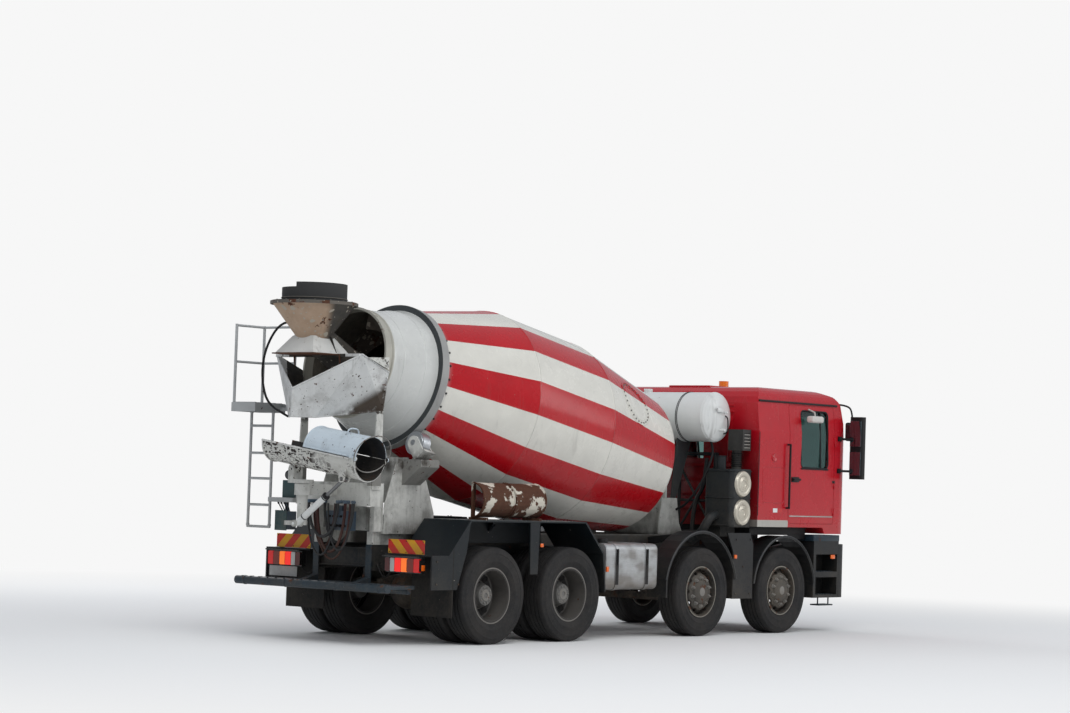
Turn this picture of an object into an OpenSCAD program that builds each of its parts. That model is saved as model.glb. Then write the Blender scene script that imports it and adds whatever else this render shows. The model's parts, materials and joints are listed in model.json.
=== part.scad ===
// Four-axle concrete mixer truck with a red cab and a striped drum, chute swung to its right.
// X points forward, Y to the driver's left and Z up. The origin is on the ground,
// under the middle of the truck's box.

/* [Axles and wheels] */
// From the rearmost point of the truck to axle 4
rear_overhang = 2140; // [2120:10:2200]
// From axle 4 to axle 3
tandem_gap = 1350; // [1300:10:1420]
// From axle 3 to axle 2
middle_gap = 2550; // [2550:10:2800]
// From axle 2 to axle 1
front_gap = 1700; // [1650:10:1800]
// From axle 1 to the front of the cab
front_overhang = 1440; // [1400:10:1480]
// Radius of a tyre on its tread
tyre_r = 530; // [500:1:540]
// Width of a tyre
tyre_w = 300; // [280:2:310]
// Radius of a rim under the tyre's bead
bead_r = 290; // [270:1:300]
// From the middle of the truck to the middle of a front wheel
front_track_half = 1070; // [1050:5:1090]
// From the middle of the truck to the middle of a rear pair of tyres
rear_track_half = 920; // [910:5:930]
// From the middle of one twin tyre to the other
twin_gap = 340; // [325:1:350]
// From the middle of the truck to a kingpin
kingpin_y = 930; // [920:5:940]
// Radius of a kingpin
kingpin_r = 24; // [18:1:28]
// Radius of a front wheel's spindle
spindle_r = 46; // [38:1:50]
// Radius of a rear wheel's spindle
rear_spindle_r = 55; // [45:1:62]

/* [Chassis] */
// Height of the top of the chassis rails
rail_top_z = 1050; // [1030:5:1060]
// Height of a chassis rail
rail_h = 280; // [250:5:300]
// From the middle of the truck to a rail's outer face
rail_y = 430; // [415:5:440]
// Width of a rail's flanges
rail_flange = 80; // [60:5:90]
// Thickness of a rail's web and flanges
rail_t = 9; // [7:1:12]
// Height of the mixer's own rails on the chassis
subframe_h = 140; // [120:5:145]

/* [Drum] */
// Tilt of the drum, rear end up
drum_tilt = 11; // [10.5:0.1:11.5]
// Height of the drum's axis above axle 4
drum_axis_z = 2795; // [2780:5:2840]
// Outside radius of the drum's mouth
mouth_r = 593; // [580:1:600]
// Outside radius at the rear edge of the middle shell
belly_rear_r = 1110; // [1080:1:1120]
// Outside radius at the front edge of the middle shell
belly_front_r = 1120; // [1080:1:1125]
// Outside radius of the front end
front_rim_r = 885; // [850:1:900]
// Thickness of the drum's plate
drum_t = 6; // [4:1:10]
// Outside radius of the roller ring
ring_r = 816; // [812:1:824]
// Width of the roller ring
ring_w = 110; // [90:5:130]
// Radius of a drum roller
roller_r = 130; // [115:1:135]
// Angle of the rollers from straight down
roller_angle = 38; // [36:1:40]
// Depth of a mixing blade in the middle shell
blade_h = 430; // [350:10:460]
// Thickness of a mixing blade
blade_t = 8; // [6:1:12]
// Turns that a mixing blade makes along the drum
blade_turns = 3; // [2.5:0.25:3.5]

/* [Hoppers and chutes] */
// Radius of the feed hopper's rim
funnel_r = 460; // [430:5:470]
// Height of the feed hopper's rim
funnel_z = 3620; // [3600:5:3640]
// Depth of the feed hopper's cone
funnel_h = 390; // [370:5:400]
// Radius of the feed hopper's throat
throat_r = 160; // [140:5:170]
// Thickness of the hopper plates
plate_t = 6; // [4:1:8]
// Radius of the rubber collar on the feed hopper
collar_r = 350; // [330:5:360]
// Height of the rubber collar
collar_h = 200; // [160:10:220]
// Outside radius of the chutes
chute_r = 232; // [220:1:236]
// Length of the upper chute
chute_len = 1390; // [1300:10:1420]
// Length of the folding chute
fold_len = 775; // [750:5:800]
// Slope of the chute as it is carried
chute_slope = 8; // [7:0.5:9]
// Thickness of the chutes' plate
chute_t = 5; // [3:1:7]

/* [Cab] */
// From the middle of the truck to the cab's side
cab_y = 1240; // [1230:5:1250]
// Length of the cab
cab_len = 2070; // [2060:5:2090]
// Height of the roof
cab_top_z = 3050; // [3030:5:3070]
// Height of the cab's lower edge
cab_low_z = 1240; // [1235:1:1250]
// Thickness of the cab's walls and doors
cab_t = 50; // [40:1:55]
// Thickness of the glass
glass_t = 6; // [5:1:8]
// Gap round a door
door_gap = 8; // [7:0.5:10]
// Height of the cab's tilting pins
tilt_z = 1080; // [1070:5:1085]

/* [Tanks and boxes] */
// Diameter of the water tank
water_d = 610; // [560:5:620]
// Length of the water tank
water_len = 1850; // [1700:10:1860]
// Length of the fuel tank
fuel_len = 980; // [900:10:990]
// Height of the fuel tank
fuel_h = 530; // [480:10:540]
// Width of the fuel tank
fuel_w = 620; // [560:10:640]

/* [Hidden] */
$fn = 48;

// Running clearance of a pin in its bore, and the gap between faces that sit on each other
fit = 0.05;
seat = 0.3;
// Smallest gap between pieces that move past each other
run = 6;

// Axle places along X, and the truck's whole length
truck_len = rear_overhang + tandem_gap + middle_gap + front_gap + front_overhang;
axle_4 = rear_overhang - truck_len / 2;
axle_3 = axle_4 + tandem_gap;
axle_2 = axle_3 + middle_gap;
axle_1 = axle_2 + front_gap;
nose = axle_1 + front_overhang;
hub_z = tyre_r;

// Chassis and subframe
rail_low_z = rail_top_z - rail_h;
rail_in_y = rail_y - rail_flange;
rail_back = axle_4 - 1100;
rail_front = axle_1 + 1200;
subframe_top_z = rail_top_z + subframe_h;

// Drum stations along its axis, measured forward from the point above axle 4
mouth_s = -1077;
ring_s = -453;
belly_rear_s = 850;
belly_front_s = 2233;
front_rim_s = 3764;
dish_s = 4050;
flange_s = 4120;
flange_r = 190;
shell_at_ring_r = mouth_r + (belly_rear_r - mouth_r) * (ring_s - mouth_s) / (belly_rear_s - mouth_s);
roller_out = ring_r + roller_r + seat;

function on_axis(s, up = 0, side = 0) = [
    axle_4 + s * cos(drum_tilt) + up * sin(drum_tilt),
    side,
    drum_axis_z - s * sin(drum_tilt) + up * cos(drum_tilt)];

function arc(c, r, from, to, steps) =
    [for (i = [0:steps]) c + r * [cos(from + (to - from) * i / steps), sin(from + (to - from) * i / steps)]];

function rounded(x, y, r, steps = 5) = concat(
    arc([x[0] + r, y[0] + r], r, 180, 270, steps), arc([x[1] - r, y[0] + r], r, 270, 360, steps),
    arc([x[1] - r, y[1] - r], r, 0, 90, steps), arc([x[0] + r, y[1] - r], r, 90, 180, steps));

// Shapes that the sub-parts share
module block(x, y, z) {
    translate([x[0], y[0], z[0]]) cube([x[1] - x[0], y[1] - y[0], z[1] - z[0]]);
}

module both_sides() {
    children();
    mirror([0, 1, 0]) children();
}

// An outline in X and Z, as thick as the range y
module upright(y, outline) {
    translate([0, y[1], 0]) rotate([90, 0, 0]) linear_extrude(y[1] - y[0]) polygon(outline);
}

// An outline in Y and Z, as long as the range x
module along(x, outline) {
    translate([x[0], 0, 0]) rotate([90, 0, 90]) linear_extrude(x[1] - x[0]) polygon(outline);
}

// A round bar between two points
module bar(from, to, d) {
    v = to - from;
    translate(from) rotate([0, acos(v[2] / norm(v)), atan2(v[1], v[0])]) cylinder(h = norm(v), d = d);
}

// A round bar along Y
module cross_bar(x, z, y, d) {
    translate([x, y[0], z]) rotate([-90, 0, 0]) cylinder(h = y[1] - y[0], d = d);
}

// A flat plate on four corners, thickened away from its outer face
module plate(a, b, c, d, t) {
    n = cross(b - a, d - a);
    o = -t * n / norm(n);
    polyhedron([a, b, c, d, a + o, b + o, c + o, d + o],
        [[3, 2, 1], [3, 1, 0], [7, 5, 6], [7, 4, 5], [0, 1, 5], [0, 5, 4], [1, 2, 6], [1, 6, 5],
         [2, 3, 7], [2, 7, 6], [3, 0, 4], [3, 4, 7]]);
}

// Turns local Z onto the drum's axis, at a station of it
module at_drum(s) {
    translate(on_axis(s)) rotate([0, 90 + drum_tilt, 0]) children();
}

// A tube through a list of points
function unit(v) = v / norm(v);
function way(p, i) = unit(p[min(i + 1, len(p) - 1)] - p[max(i - 1, 0)]);
function ring_at(p, i, r, sides) = let (
    t = way(p, i),
    u = unit(cross(t, abs(t[0]) < 0.9 ? [1, 0, 0] : [0, 1, 0])),
    v = cross(t, u))
    [for (k = [0:sides - 1]) p[i] + r * (cos(360 * k / sides) * u + sin(360 * k / sides) * v)];

module tube(p, d, sides = 8) {
    n = len(p);
    polyhedron([for (i = [0:n - 1]) each ring_at(p, i, d / 2, sides)],
        concat([[for (k = [0:sides - 1]) k]],
            [for (i = [0:n - 2]) for (k = [0:sides - 1])
                [i * sides + k, (i + 1) * sides + k,
                 (i + 1) * sides + (k + 1) % sides, i * sides + (k + 1) % sides]],
            [[for (k = [sides - 1:-1:0]) (n - 1) * sides + k]]));
}

// Chassis: two channel rails, cross members and the pins that the cab tilts on
pin_d = 50;
rail_x = [rail_back, rail_front];
cross_members = [rail_back + 60, axle_4 + 480, axle_3 - 480, axle_3 + 900, axle_2 - 600, axle_2 + 440];
tilt_x = nose - 120;

module chassis_frame() color([0.10, 0.13, 0.14]) {
    both_sides() {
        along(rail_x, [
            [rail_y, rail_low_z], [rail_y, rail_top_z], [rail_in_y, rail_top_z],
            [rail_in_y, rail_top_z - rail_t], [rail_y - rail_t, rail_top_z - rail_t],
            [rail_y - rail_t, rail_low_z + rail_t], [rail_in_y, rail_low_z + rail_t],
            [rail_in_y, rail_low_z]]);
        upright([rail_in_y, rail_y - rail_t], concat(
            [[rail_front - 260, rail_low_z + 40], [rail_front, rail_low_z + 40]],
            arc([tilt_x, tilt_z], 45, -20, 160, 8), [[rail_front - 260, rail_top_z - rail_t]]));
        cross_bar(tilt_x, tilt_z, [rail_in_y, rail_y + 46], pin_d);
    }
    for (x = cross_members)
        difference() {
            block([x - 45, x + 45], [-rail_y + rail_t, rail_y - rail_t], [rail_low_z + 40, rail_top_z - 40]);
            for (s = [-1, 1])
                block([x + s * 46 - 36, x + s * 46 + 36], [-rail_y + 60, rail_y - 60],
                    [rail_low_z + 52, rail_top_z - 52]);
        }
    cross_bar(rail_front - 90, rail_low_z + 90, [-rail_y + rail_t, rail_y - rail_t], 110);
    // Rests under the back of the cab
    both_sides() block([cab_back + 100, cab_back + 180], [rail_y - 60, rail_y - 10],
        [rail_top_z, sill_z - seat]);
}

// Mixer frame: its rails, the rear tower with the drum's rollers, the cross beam and the front pedestal
tower_y = 500;
tower_t = 12;
roller_w = 120;
cheek_t = 22;
roller_pin_r = 30;
swing_x = axle_4 - 1750;
swing_r = 55;
beam_x = [axle_4 - 1290, axle_4 - 1130];
beam_z = [1460, 1710];
beam_half = 550;
swing_z = [1560, 1680];
pedestal_x = [axle_4 + 4050, axle_4 + 4560];
pedestal_y = [rail_y - 30, rail_y - 10];
drive_r = 240;

// Puts its children at a roller's middle, local Z along the drum's axis
module at_roller(side) {
    at_drum(ring_s) rotate([0, 0, side * roller_angle]) translate([roller_out, 0, 0]) children();
}

module roller_bracket(side) {
    reach = 190;
    difference() {
        at_roller(side) for (s = [-1, 1])
            translate([0, 0, s * (roller_w / 2 + run + cheek_t / 2) - cheek_t / 2]) {
                cylinder(h = cheek_t, r = 75);
                translate([0, -75, 0]) cube([reach, 150, cheek_t]);
            }
        at_roller(side) translate([0, 0, -200]) cylinder(h = 400, r = roller_pin_r + fit);
    }
    at_roller(side) translate([reach - 30, -95, -roller_w / 2 - run - cheek_t])
        cube([30, 190, roller_w + 2 * run + 2 * cheek_t]);
    mirror([0, side < 0 ? 1 : 0, 0]) along([axle_4 - 740, axle_4 - 440], [
        [tower_y - tower_t, 1700], [tower_y, 1700], [770, 1900], [770, 1980], [tower_y - tower_t, 1980]]);
}

module tower_plate() {
    upright([tower_y - tower_t, tower_y], [
        [axle_4 - 1000, subframe_top_z], [axle_4 - 200, subframe_top_z], [axle_4 - 200, 1400],
        [axle_4 - 430, 1980], [axle_4 - 820, 1980], [axle_4 - 1000, 1480]]);
}

module mixer_frame() color([0.72, 0.72, 0.69]) {
    both_sides() {
        along([rail_back, axle_2 + 1000], [
            [rail_in_y, rail_top_z], [rail_y, rail_top_z], [rail_y, subframe_top_z],
            [rail_in_y, subframe_top_z]]);
        tower_plate();
        block([axle_4 - 1000, axle_4 - 200], [rail_y - 40, tower_y], [subframe_top_z - 20, subframe_top_z + 20]);
        roller_bracket(-1);
        upright(pedestal_y, [
            [pedestal_x[0], subframe_top_z], [pedestal_x[1], subframe_top_z],
            [pedestal_x[1] - 90, 1330], [pedestal_x[1] - 150, 1640],
            [pedestal_x[0] + 60, 1640], [pedestal_x[0], 1330]]);
    }
    // Cross wall of the tower, cut round for the drum
    difference() {
        block([axle_4 - 640, axle_4 - 620], [-tower_y + tower_t, tower_y - tower_t], [subframe_top_z, 2000]);
        at_drum(ring_s - 500) cylinder(h = 1000, r = ring_r + 40);
        block([axle_4 - 700, axle_4 - 600], [-240, 240], [subframe_top_z - 10, 1500]);
    }
    // Cross beam behind the tower, and the bracket that the chute swings in
    difference() {
        union() {
            block(beam_x, [-beam_half, beam_half], beam_z);
            for (s = [-1, 1])
                block([beam_x[1], axle_4 - 990], [s * 440 - 30, s * 440 + 30], [subframe_top_z, beam_z[1]]);
            upright([-60, 60], [
                [beam_x[0], swing_z[0]], [beam_x[0], swing_z[1]], [swing_x, swing_z[1]],
                [swing_x, swing_z[0]]]);
            translate([swing_x, 0, swing_z[0]]) cylinder(h = swing_z[1] - swing_z[0], r = swing_r + 35);
        }
        translate([swing_x, 0, swing_z[0] - 10]) cylinder(h = 300, r = swing_r + fit);
    }
    // Cross plate of the front pedestal, under the drum's drive
    difference() {
        block([pedestal_x[0] + 150, pedestal_x[0] + 175], [-rail_y + 30, rail_y - 30], [subframe_top_z, 1780]);
        at_drum(flange_s) cylinder(h = 800, r = drive_r + seat);
    }
}

// Engine with its gearbox, as plain masses between the rails
module engine_block() color([0.25, 0.25, 0.25]) {
    block([axle_1 - 420, axle_1 + 720], [-330, 330], [640, 1200]);
    block([axle_1 - 1180, axle_1 - 420], [-220, 220], [600, 980]);
    for (x = [axle_1 - 300, axle_1 + 520]) block([x, x + 80], [-rail_y + rail_t, rail_y - rail_t], [850, 950]);
}

// Front axles: dropped beams with kingpin eyes, on leaf springs
eye_half = 60;
spring_half = 700;

module leaf_spring(x) {
    rise = 150;
    r = (spring_half * spring_half + rise * rise) / (2 * rise);
    a = asin(spring_half / r);
    mid_z = 545;
    upright([rail_in_y, rail_y], concat(
        arc([x, mid_z + r], r, 270 - a, 270 + a, 14), arc([x, mid_z + r], r - 30, 270 + a, 270 - a, 14)));
    upright([rail_in_y, rail_y], concat(
        arc([x, mid_z + r], r - 30, 270 - a * 0.6, 270 + a * 0.6, 10),
        arc([x, mid_z + r], r - 60, 270 + a * 0.55, 270 - a * 0.55, 10)));
    for (s = [-1, 1])
        upright([rail_in_y, rail_y], [
            [x + s * spring_half - 35, mid_z + rise - 30], [x + s * spring_half + 35, mid_z + rise - 30],
            [x + s * spring_half + 60, rail_low_z], [x + s * spring_half - 60, rail_low_z]]);
}

module front_axle(x) {
    difference() {
        union() {
            both_sides() {
                translate([x - 45, 0, 0]) along([0, 90], [
                    [0, 400], [560, 400], [780, hub_z - 50], [kingpin_y, hub_z - 50],
                    [kingpin_y, hub_z + 50], [740, hub_z + 50], [540, 490], [0, 490]]);
                translate([x, kingpin_y, hub_z - eye_half]) cylinder(h = 2 * eye_half, r = 52);
                block([x - 75, x + 75], [rail_in_y, rail_y], [490, 547]);
            }
        }
        both_sides() translate([x, kingpin_y, hub_z - 100]) cylinder(h = 200, r = kingpin_r + fit);
    }
    both_sides() leaf_spring(x);
}

module front_axles() color([0.16, 0.16, 0.16]) for (x = [axle_1, axle_2]) front_axle(x);

// Rear axles: housings with their gear cases and spindles, on one rocking spring pack
rear_spindle_end = rear_track_half + 190;

module rear_axle(x) {
    cross_bar(x, hub_z, [-560, 560], 150);
    cross_bar(x, hub_z, [-rear_spindle_end, rear_spindle_end], 2 * rear_spindle_r);
    translate([x, 0, hub_z]) sphere(r = 210);
    translate([x, 0, hub_z]) rotate([0, 90, 0]) cylinder(h = 330, r1 = 150, r2 = 80);
    both_sides() block([x - 60, x + 60], [rail_in_y, rail_y], [hub_z + 60, 640]);
}

module rear_axles() color([0.16, 0.16, 0.16]) {
    bogie_x = (axle_3 + axle_4) / 2;
    r = 3600;
    a = asin((tandem_gap / 2 + 70) / r);
    for (x = [axle_3, axle_4]) rear_axle(x);
    bar([axle_4 + 200, 0, hub_z], [axle_3 - 100, 0, hub_z], 90);
    bar([axle_3 + 200, 0, hub_z], [axle_1 - 1183.6, 0, 700], 110);
    both_sides() {
        upright([rail_in_y, rail_y], concat(
            arc([bogie_x, 715 - r], r, 90 + a, 90 - a, 12),
            arc([bogie_x, 715 - r], r - 60, 90 - a, 90 + a, 12)));
        upright([rail_in_y, rail_y], [
            [bogie_x - 150, rail_low_z], [bogie_x + 150, rail_low_z], [bogie_x + 110, 560],
            [bogie_x + 60, 480], [bogie_x - 60, 480], [bogie_x - 110, 560]]);
    }
    cross_bar(bogie_x, 540, [-rail_in_y, rail_in_y], 110);
}

// Knuckles: yoke, kingpin and the spindle that the wheel turns on
module knuckle(x, side) {
    mirror([0, side < 0 ? 1 : 0, 0]) {
        translate([x, kingpin_y, hub_z - 110]) cylinder(h = 220, r = kingpin_r);
        for (z = [hub_z - 110, hub_z + eye_half + seat])
            hull() {
                translate([x, kingpin_y, z]) cylinder(h = 50 - seat, r = 50, $fn = 32);
                translate([x - 50, kingpin_y + 60, z]) cube([100, 16, 50 - seat]);
            }
        block([x - 50, x + 50], [kingpin_y + 57, kingpin_y + 75], [hub_z - 110, hub_z + 110]);
        cross_bar(x, hub_z, [kingpin_y + 70, front_track_half + 120], 2 * spindle_r);
    }
}

// Wheels: each is a rim with its hub, and tyres that its beads hold
module around_axle(x, y, side) {
    translate([x, side * y, hub_z]) mirror([0, side < 0 ? 1 : 0, 0]) rotate([-90, 0, 0]) children();
}

bead_half = 117;

module tyre() {
    half = tyre_w / 2;
    bead = bead_half - 7;
    rotate_extrude($fn = 30) polygon([
        [bead_r, -bead], [tyre_r * 0.8, -half], [tyre_r - 28, -half * 0.96], [tyre_r, -half * 0.84],
        [tyre_r, half * 0.84], [tyre_r - 28, half * 0.96], [tyre_r * 0.8, half], [bead_r, bead]]);
}

module rim_barrel() {
    bead = bead_half + seat;
    lip = bead_half + 9;
    inner = bead_r - 14;
    rotate_extrude() polygon([
        [inner, -lip], [bead_r + 15, -lip], [bead_r + 15, -bead], [bead_r - seat, -bead],
        [bead_r - seat, bead], [bead_r + 15, bead], [bead_r + 15, lip], [inner, lip]]);
}

module hand_holes(n, ring, d, z) {
    for (i = [0:n - 1]) rotate([0, 0, 360 * i / n]) translate([ring, 0, z]) cylinder(h = 120, d = d);
}

module front_wheel(x, side) {
    inner = bead_r - 14;
    around_axle(x, front_track_half, side) {
        color([0.55, 0.54, 0.52]) {
            rim_barrel();
            difference() {
                rotate_extrude() polygon([
                    [spindle_r + fit, -54], [95, -54], [120, 60], [150, 98], [196, 98], [inner + 1, 20],
                    [inner + 1, 36], [205, 112], [150, 112], [135, 132], [95, 146], [0, 146],
                    [0, 128], [spindle_r + fit, 128]]);
                hand_holes(10, 232, 46, 10);
            }
        }
        color([0.06, 0.06, 0.06]) tyre();
    }
}

module rear_wheel(x, side) {
    inner = bead_r - 14;
    far = twin_gap / 2;
    around_axle(x, rear_track_half, side) {
        color([0.30, 0.30, 0.30]) {
            for (s = [-1, 1]) translate([0, 0, s * far]) rim_barrel();
            difference() {
                rotate_extrude() polygon([
                    [rear_spindle_r + fit, -200], [205, -200], [215, -190], [215, -20], [inner + 1, -64],
                    [inner + 1, -50], [220, 0], [inner + 1, 50], [inner + 1, 64], [200, 14],
                    [150, 14], [140, 120], [110, 196], [0, 196], [0, 192], [rear_spindle_r + fit, 192]]);
                hand_holes(8, 246, 36, -60);
            }
        }
        color([0.06, 0.06, 0.06]) for (s = [-1, 1]) translate([0, 0, s * far]) tyre();
    }
}

headlamp_y = 780;
headlamp_half = 170;
headlamp_deep = 24;
headlamp_z = [640, 820];

// Bumper with its lamps and tow eye
module bumper() color([0.09, 0.09, 0.09]) {
    plan = concat([[nose - 190, -cab_y + 10]], arc([nose - 140, -cab_y + 150], 140, 270, 360, 6),
        arc([nose - 140, cab_y - 150], 140, 0, 90, 6), [[nose - 190, cab_y - 10]],
        [[nose - 190, cab_y - 40], [nose - 150, cab_y - 60], [nose - 60, cab_y - 150],
         [nose - 60, -cab_y + 150], [nose - 150, -cab_y + 60], [nose - 190, -cab_y + 40]]);
    difference() {
        translate([0, 0, 430]) linear_extrude(680) polygon(plan);
        both_sides() block([nose - headlamp_deep, nose + 20],
            [headlamp_y - headlamp_half, headlamp_y + headlamp_half], headlamp_z);
        both_sides() block([nose - 200, nose + 10], [rail_y - 10, rail_y + 56], [tilt_z - 35, 1200]);
    }
    both_sides() block([rail_front, nose - 60], [rail_in_y, rail_y], [rail_low_z + 1, rail_low_z + 38]);
}

// Headlamps: a lens with two round reflectors in each recess of the bumper
module headlamps() color([0.80, 0.82, 0.84]) both_sides() translate([nose - headlamp_deep + seat, headlamp_y, 0]) {
    along([0, 12], rounded([2 - headlamp_half, headlamp_half - 2], [headlamp_z[0] + 2, headlamp_z[1] - 2], 20));
    for (y = [-headlamp_half / 2, headlamp_half / 2])
        translate([11, y, (headlamp_z[0] + headlamp_z[1]) / 2]) rotate([0, 90, 0]) cylinder(h = 6, r1 = 72, r2 = 64);
}

// A bent guard band over a wheel, from one angle to the other
module guard_band(x, r, t, y, from, to) {
    upright(y, concat(arc([x, hub_z], r, from, to, 14), arc([x, hub_z], r + t, to, from, 14)));
}

// Front guards with the entry steps in front of them
guard_y = [960, 1235];
step_x = [axle_1 + 690, nose - 200];

module front_guards() color([0.09, 0.09, 0.09]) both_sides() {
    guard_band(axle_1 + 20, 655, 25, guard_y, 8, 172);
    // Steps: a housing with two open treads
    difference() {
        block([axle_1 + 665, step_x[1]], [900, cab_y - 5], [430, 1150]);
        for (z = [470, 760]) block([step_x[0] + 30, step_x[1] - 30], [1010, cab_y + 5], [z, z + 220]);
    }
    // Carrier arms to the rail
    block([axle_1 + 740, axle_1 + 800], [rail_y, 900], [880, 960]);
    along([axle_1 - 5, axle_1 + 45], [[rail_y, 930], [rail_y, 1020], [1100, 1195], [1100, 1165]]);
}

// Guards of axle 2, with the skirt behind the cab and the plate towards the tank
module middle_guards() color([0.09, 0.10, 0.10]) both_sides() {
    guard_band(axle_2 - 50, 700, 28, guard_y, 12, 168);
    block([axle_2 - 50 + 685, axle_2 - 50 + 712], [980, 1225], [440, 690]);
    upright([1205, 1225], [
        [axle_2 + 610, 440], [axle_2 + 1030, 440], [axle_2 + 1030, 1100], [axle_2 + 960, 1240],
        [axle_2 + 480, 1240], [axle_2 + 610, 1000]]);
    along([axle_2 - 75, axle_2 - 25], [[rail_y, 1060], [rail_y, 1160], [1100, 1245], [1100, 1212]]);
    block([axle_2 + 780, axle_2 + 830], [rail_y, 1206], [880, 960]);
    block([axle_2 - 50 - 712, axle_2 - 50 - 685], [960, 1235], [470, 690]);
}

// Guards of the rear axles: one bent plate each side, with a skirt behind
guard_top_z = 1345;
shelf_z = [950, 965];

module rear_guards() color([0.07, 0.09, 0.10]) both_sides() {
    top = [[-763, 960], [-420, guard_top_z], [1590, guard_top_z], [1925, 1000], [1980, 560]];
    t = 16;
    y = [560, 1235];
    upright(y, [for (p = concat(top, [for (i = [len(top) - 1:-1:0]) top[i] + [i < 2 ? t : -t, -t]]))
        [axle_4 + p[0], p[1]]]);
    upright([1215, 1235], [
        [axle_4 - 1030, 600], [axle_4 - 620, 600], [axle_4 - 560, 760], [axle_4 - 470, 1010],
        [axle_4 - 420, 1334], [axle_4 - 763, 960], [axle_4 - 1030, 960]]);
    upright([1215, 1235], [
        [axle_4 + 610, 760], [axle_4 + 740, 760], [axle_4 + 760, guard_top_z - 8], [axle_4 + 590, guard_top_z - 8]]);
    block([axle_4 - 1030, axle_4 - 745], [560, 1235], shelf_z);
    for (x = [-120, 675, 1500])
        along([axle_4 + x - 25, axle_4 + x + 25], [
            [rail_y, 1080], [rail_y, 1180], [600, guard_top_z - 10], [640, guard_top_z - 10], [640, 1290]]);
    upright([560, 566], [for (p = [[-420, 1080], [1590, 1080], [1590, guard_top_z - 8], [-420, guard_top_z - 8]])
        [axle_4 + p[0], p[1]]]);
    // Mud flap behind the twin tyres
    block([axle_4 - 690, axle_4 - 678], [650, 1235], [300, 1035]);
}

// Fuel tank on the right, with straps
fuel_x = axle_3 + 660;
fuel_y = 1210;
fuel_z = 570;

module fuel_tank() color([0.62, 0.63, 0.64]) {
    along([fuel_x, fuel_x + fuel_len],
        rounded([-fuel_y + 8, -fuel_y + fuel_w], [fuel_z, fuel_z + fuel_h], 70, 6));
    for (x = [fuel_x + 180, fuel_x + fuel_len - 230])
        along([x, x + 50], rounded([-fuel_y, -fuel_y + fuel_w + 8], [fuel_z - 8, fuel_z + fuel_h + 8], 78, 6));
    for (x = [fuel_x + 180, fuel_x + fuel_len - 230])
        upright([-fuel_y + fuel_w, -rail_y], [
            [x, fuel_z + 60], [x + 50, fuel_z + 60], [x + 50, rail_top_z - 60], [x, rail_top_z - 60]]);
    translate([fuel_x + 120, -fuel_y + 160, fuel_z + fuel_h - 5]) cylinder(h = 45, r = 55);
}

// Battery box and air tanks on the left
module battery_box() color([0.12, 0.12, 0.12]) {
    along([fuel_x, fuel_x + 560], rounded([600, 1200], [600, 1080], 30, 4));
    for (z = [700, 960])
        translate([fuel_x + 620, 900, z]) rotate([0, 90, 0])
            cylinder(h = 420, r = 118);
    block([fuel_x + 560, fuel_x + 1040], [760, 1040], [575, 590]);
    block([fuel_x + 560, fuel_x + 620], [700, 1100], [590, 1080]);
    for (x = [fuel_x + 160, fuel_x + 420]) block([x, x + 50], [rail_y, 602], [820, 1000]);
}

// Water tank across the truck, with domed ends on a saddle
water_x = axle_4 + 4550;
water_z = 2650;
water_y = -25;

module water_tank() color([0.86, 0.86, 0.84]) {
    r = water_d / 2;
    dome = 90;
    translate([water_x, water_y - water_len / 2, water_z]) rotate([-90, 0, 0]) rotate_extrude()
        polygon(concat([[0, 0]], [for (i = [1:5]) [r * sin(15 * i), dome * (1 - cos(15 * i))]],
            [[r, dome], [r, water_len - dome]],
            [for (i = [5:-1:1]) [r * sin(15 * i), water_len - dome * (1 - cos(15 * i))]], [[0, water_len]]));
    // Saddles and legs down to the front pedestal
    both_sides() difference() {
        upright(pedestal_y, [
            [water_x - 250, 1640], [water_x - 160, 1640], [water_x + 150, 2420], [water_x + 200, 2560],
            [water_x - 200, 2560], [water_x - 150, 2420]]);
        cross_bar(water_x, water_z, [0, rail_y], water_d + 2 * seat);
    }
}

// Silencer box behind the cab, with two round covers on its side
silencer_x = [axle_4 + 4500, axle_4 + 4930];
silencer_y = [-1185, -760];
silencer_z = [1310, 2020];

module silencer() color([0.17, 0.17, 0.17]) {
    translate([0, 0, silencer_z[0]]) linear_extrude(silencer_z[1] - silencer_z[0])
        polygon(rounded(silencer_x, silencer_y, 60, 5));
    for (z = [1490, 1840])
        translate([(silencer_x[0] + silencer_x[1]) / 2, silencer_y[0], z]) rotate([90, 0, 0])
            rotate_extrude() polygon([[0, -5], [165, -5], [150, 22], [110, 22], [95, 10], [0, 10]]);
    block([silencer_x[0] + 60, silencer_x[1] - 60], [-980, -rail_in_y], [subframe_top_z, 1250]);
    block([silencer_x[0] + 60, silencer_x[1] - 60], [-980, -800], [1249, silencer_z[0]]);
    bar([silencer_x[0] + 150, -900, silencer_z[1]], [silencer_x[0] + 150, -900, silencer_z[1] + 160], 130);
}

// Air intake: a louvred head on its pipe, with the filter pot under it
module air_intake() color([0.10, 0.10, 0.10]) {
    x = water_x + water_d / 2 + 5;
    y = water_y - water_len / 2 + 20;
    head_z = silencer_z[1] + 230;
    difference() {
        block([x - 110, x + 60], [y - 220, y], [head_z, head_z + 260]);
        for (z = [head_z + 30:40:head_z + 220]) block([x - 80, x + 40], [y - 230, y - 190], [z, z + 22]);
    }
    bar([x - 20, y - 70, head_z + 10], [x - 20, y - 70, silencer_z[1] + seat], 120);
}

// Rear platform with its step bar and the underrun beam
platform_z = 640;

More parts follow.
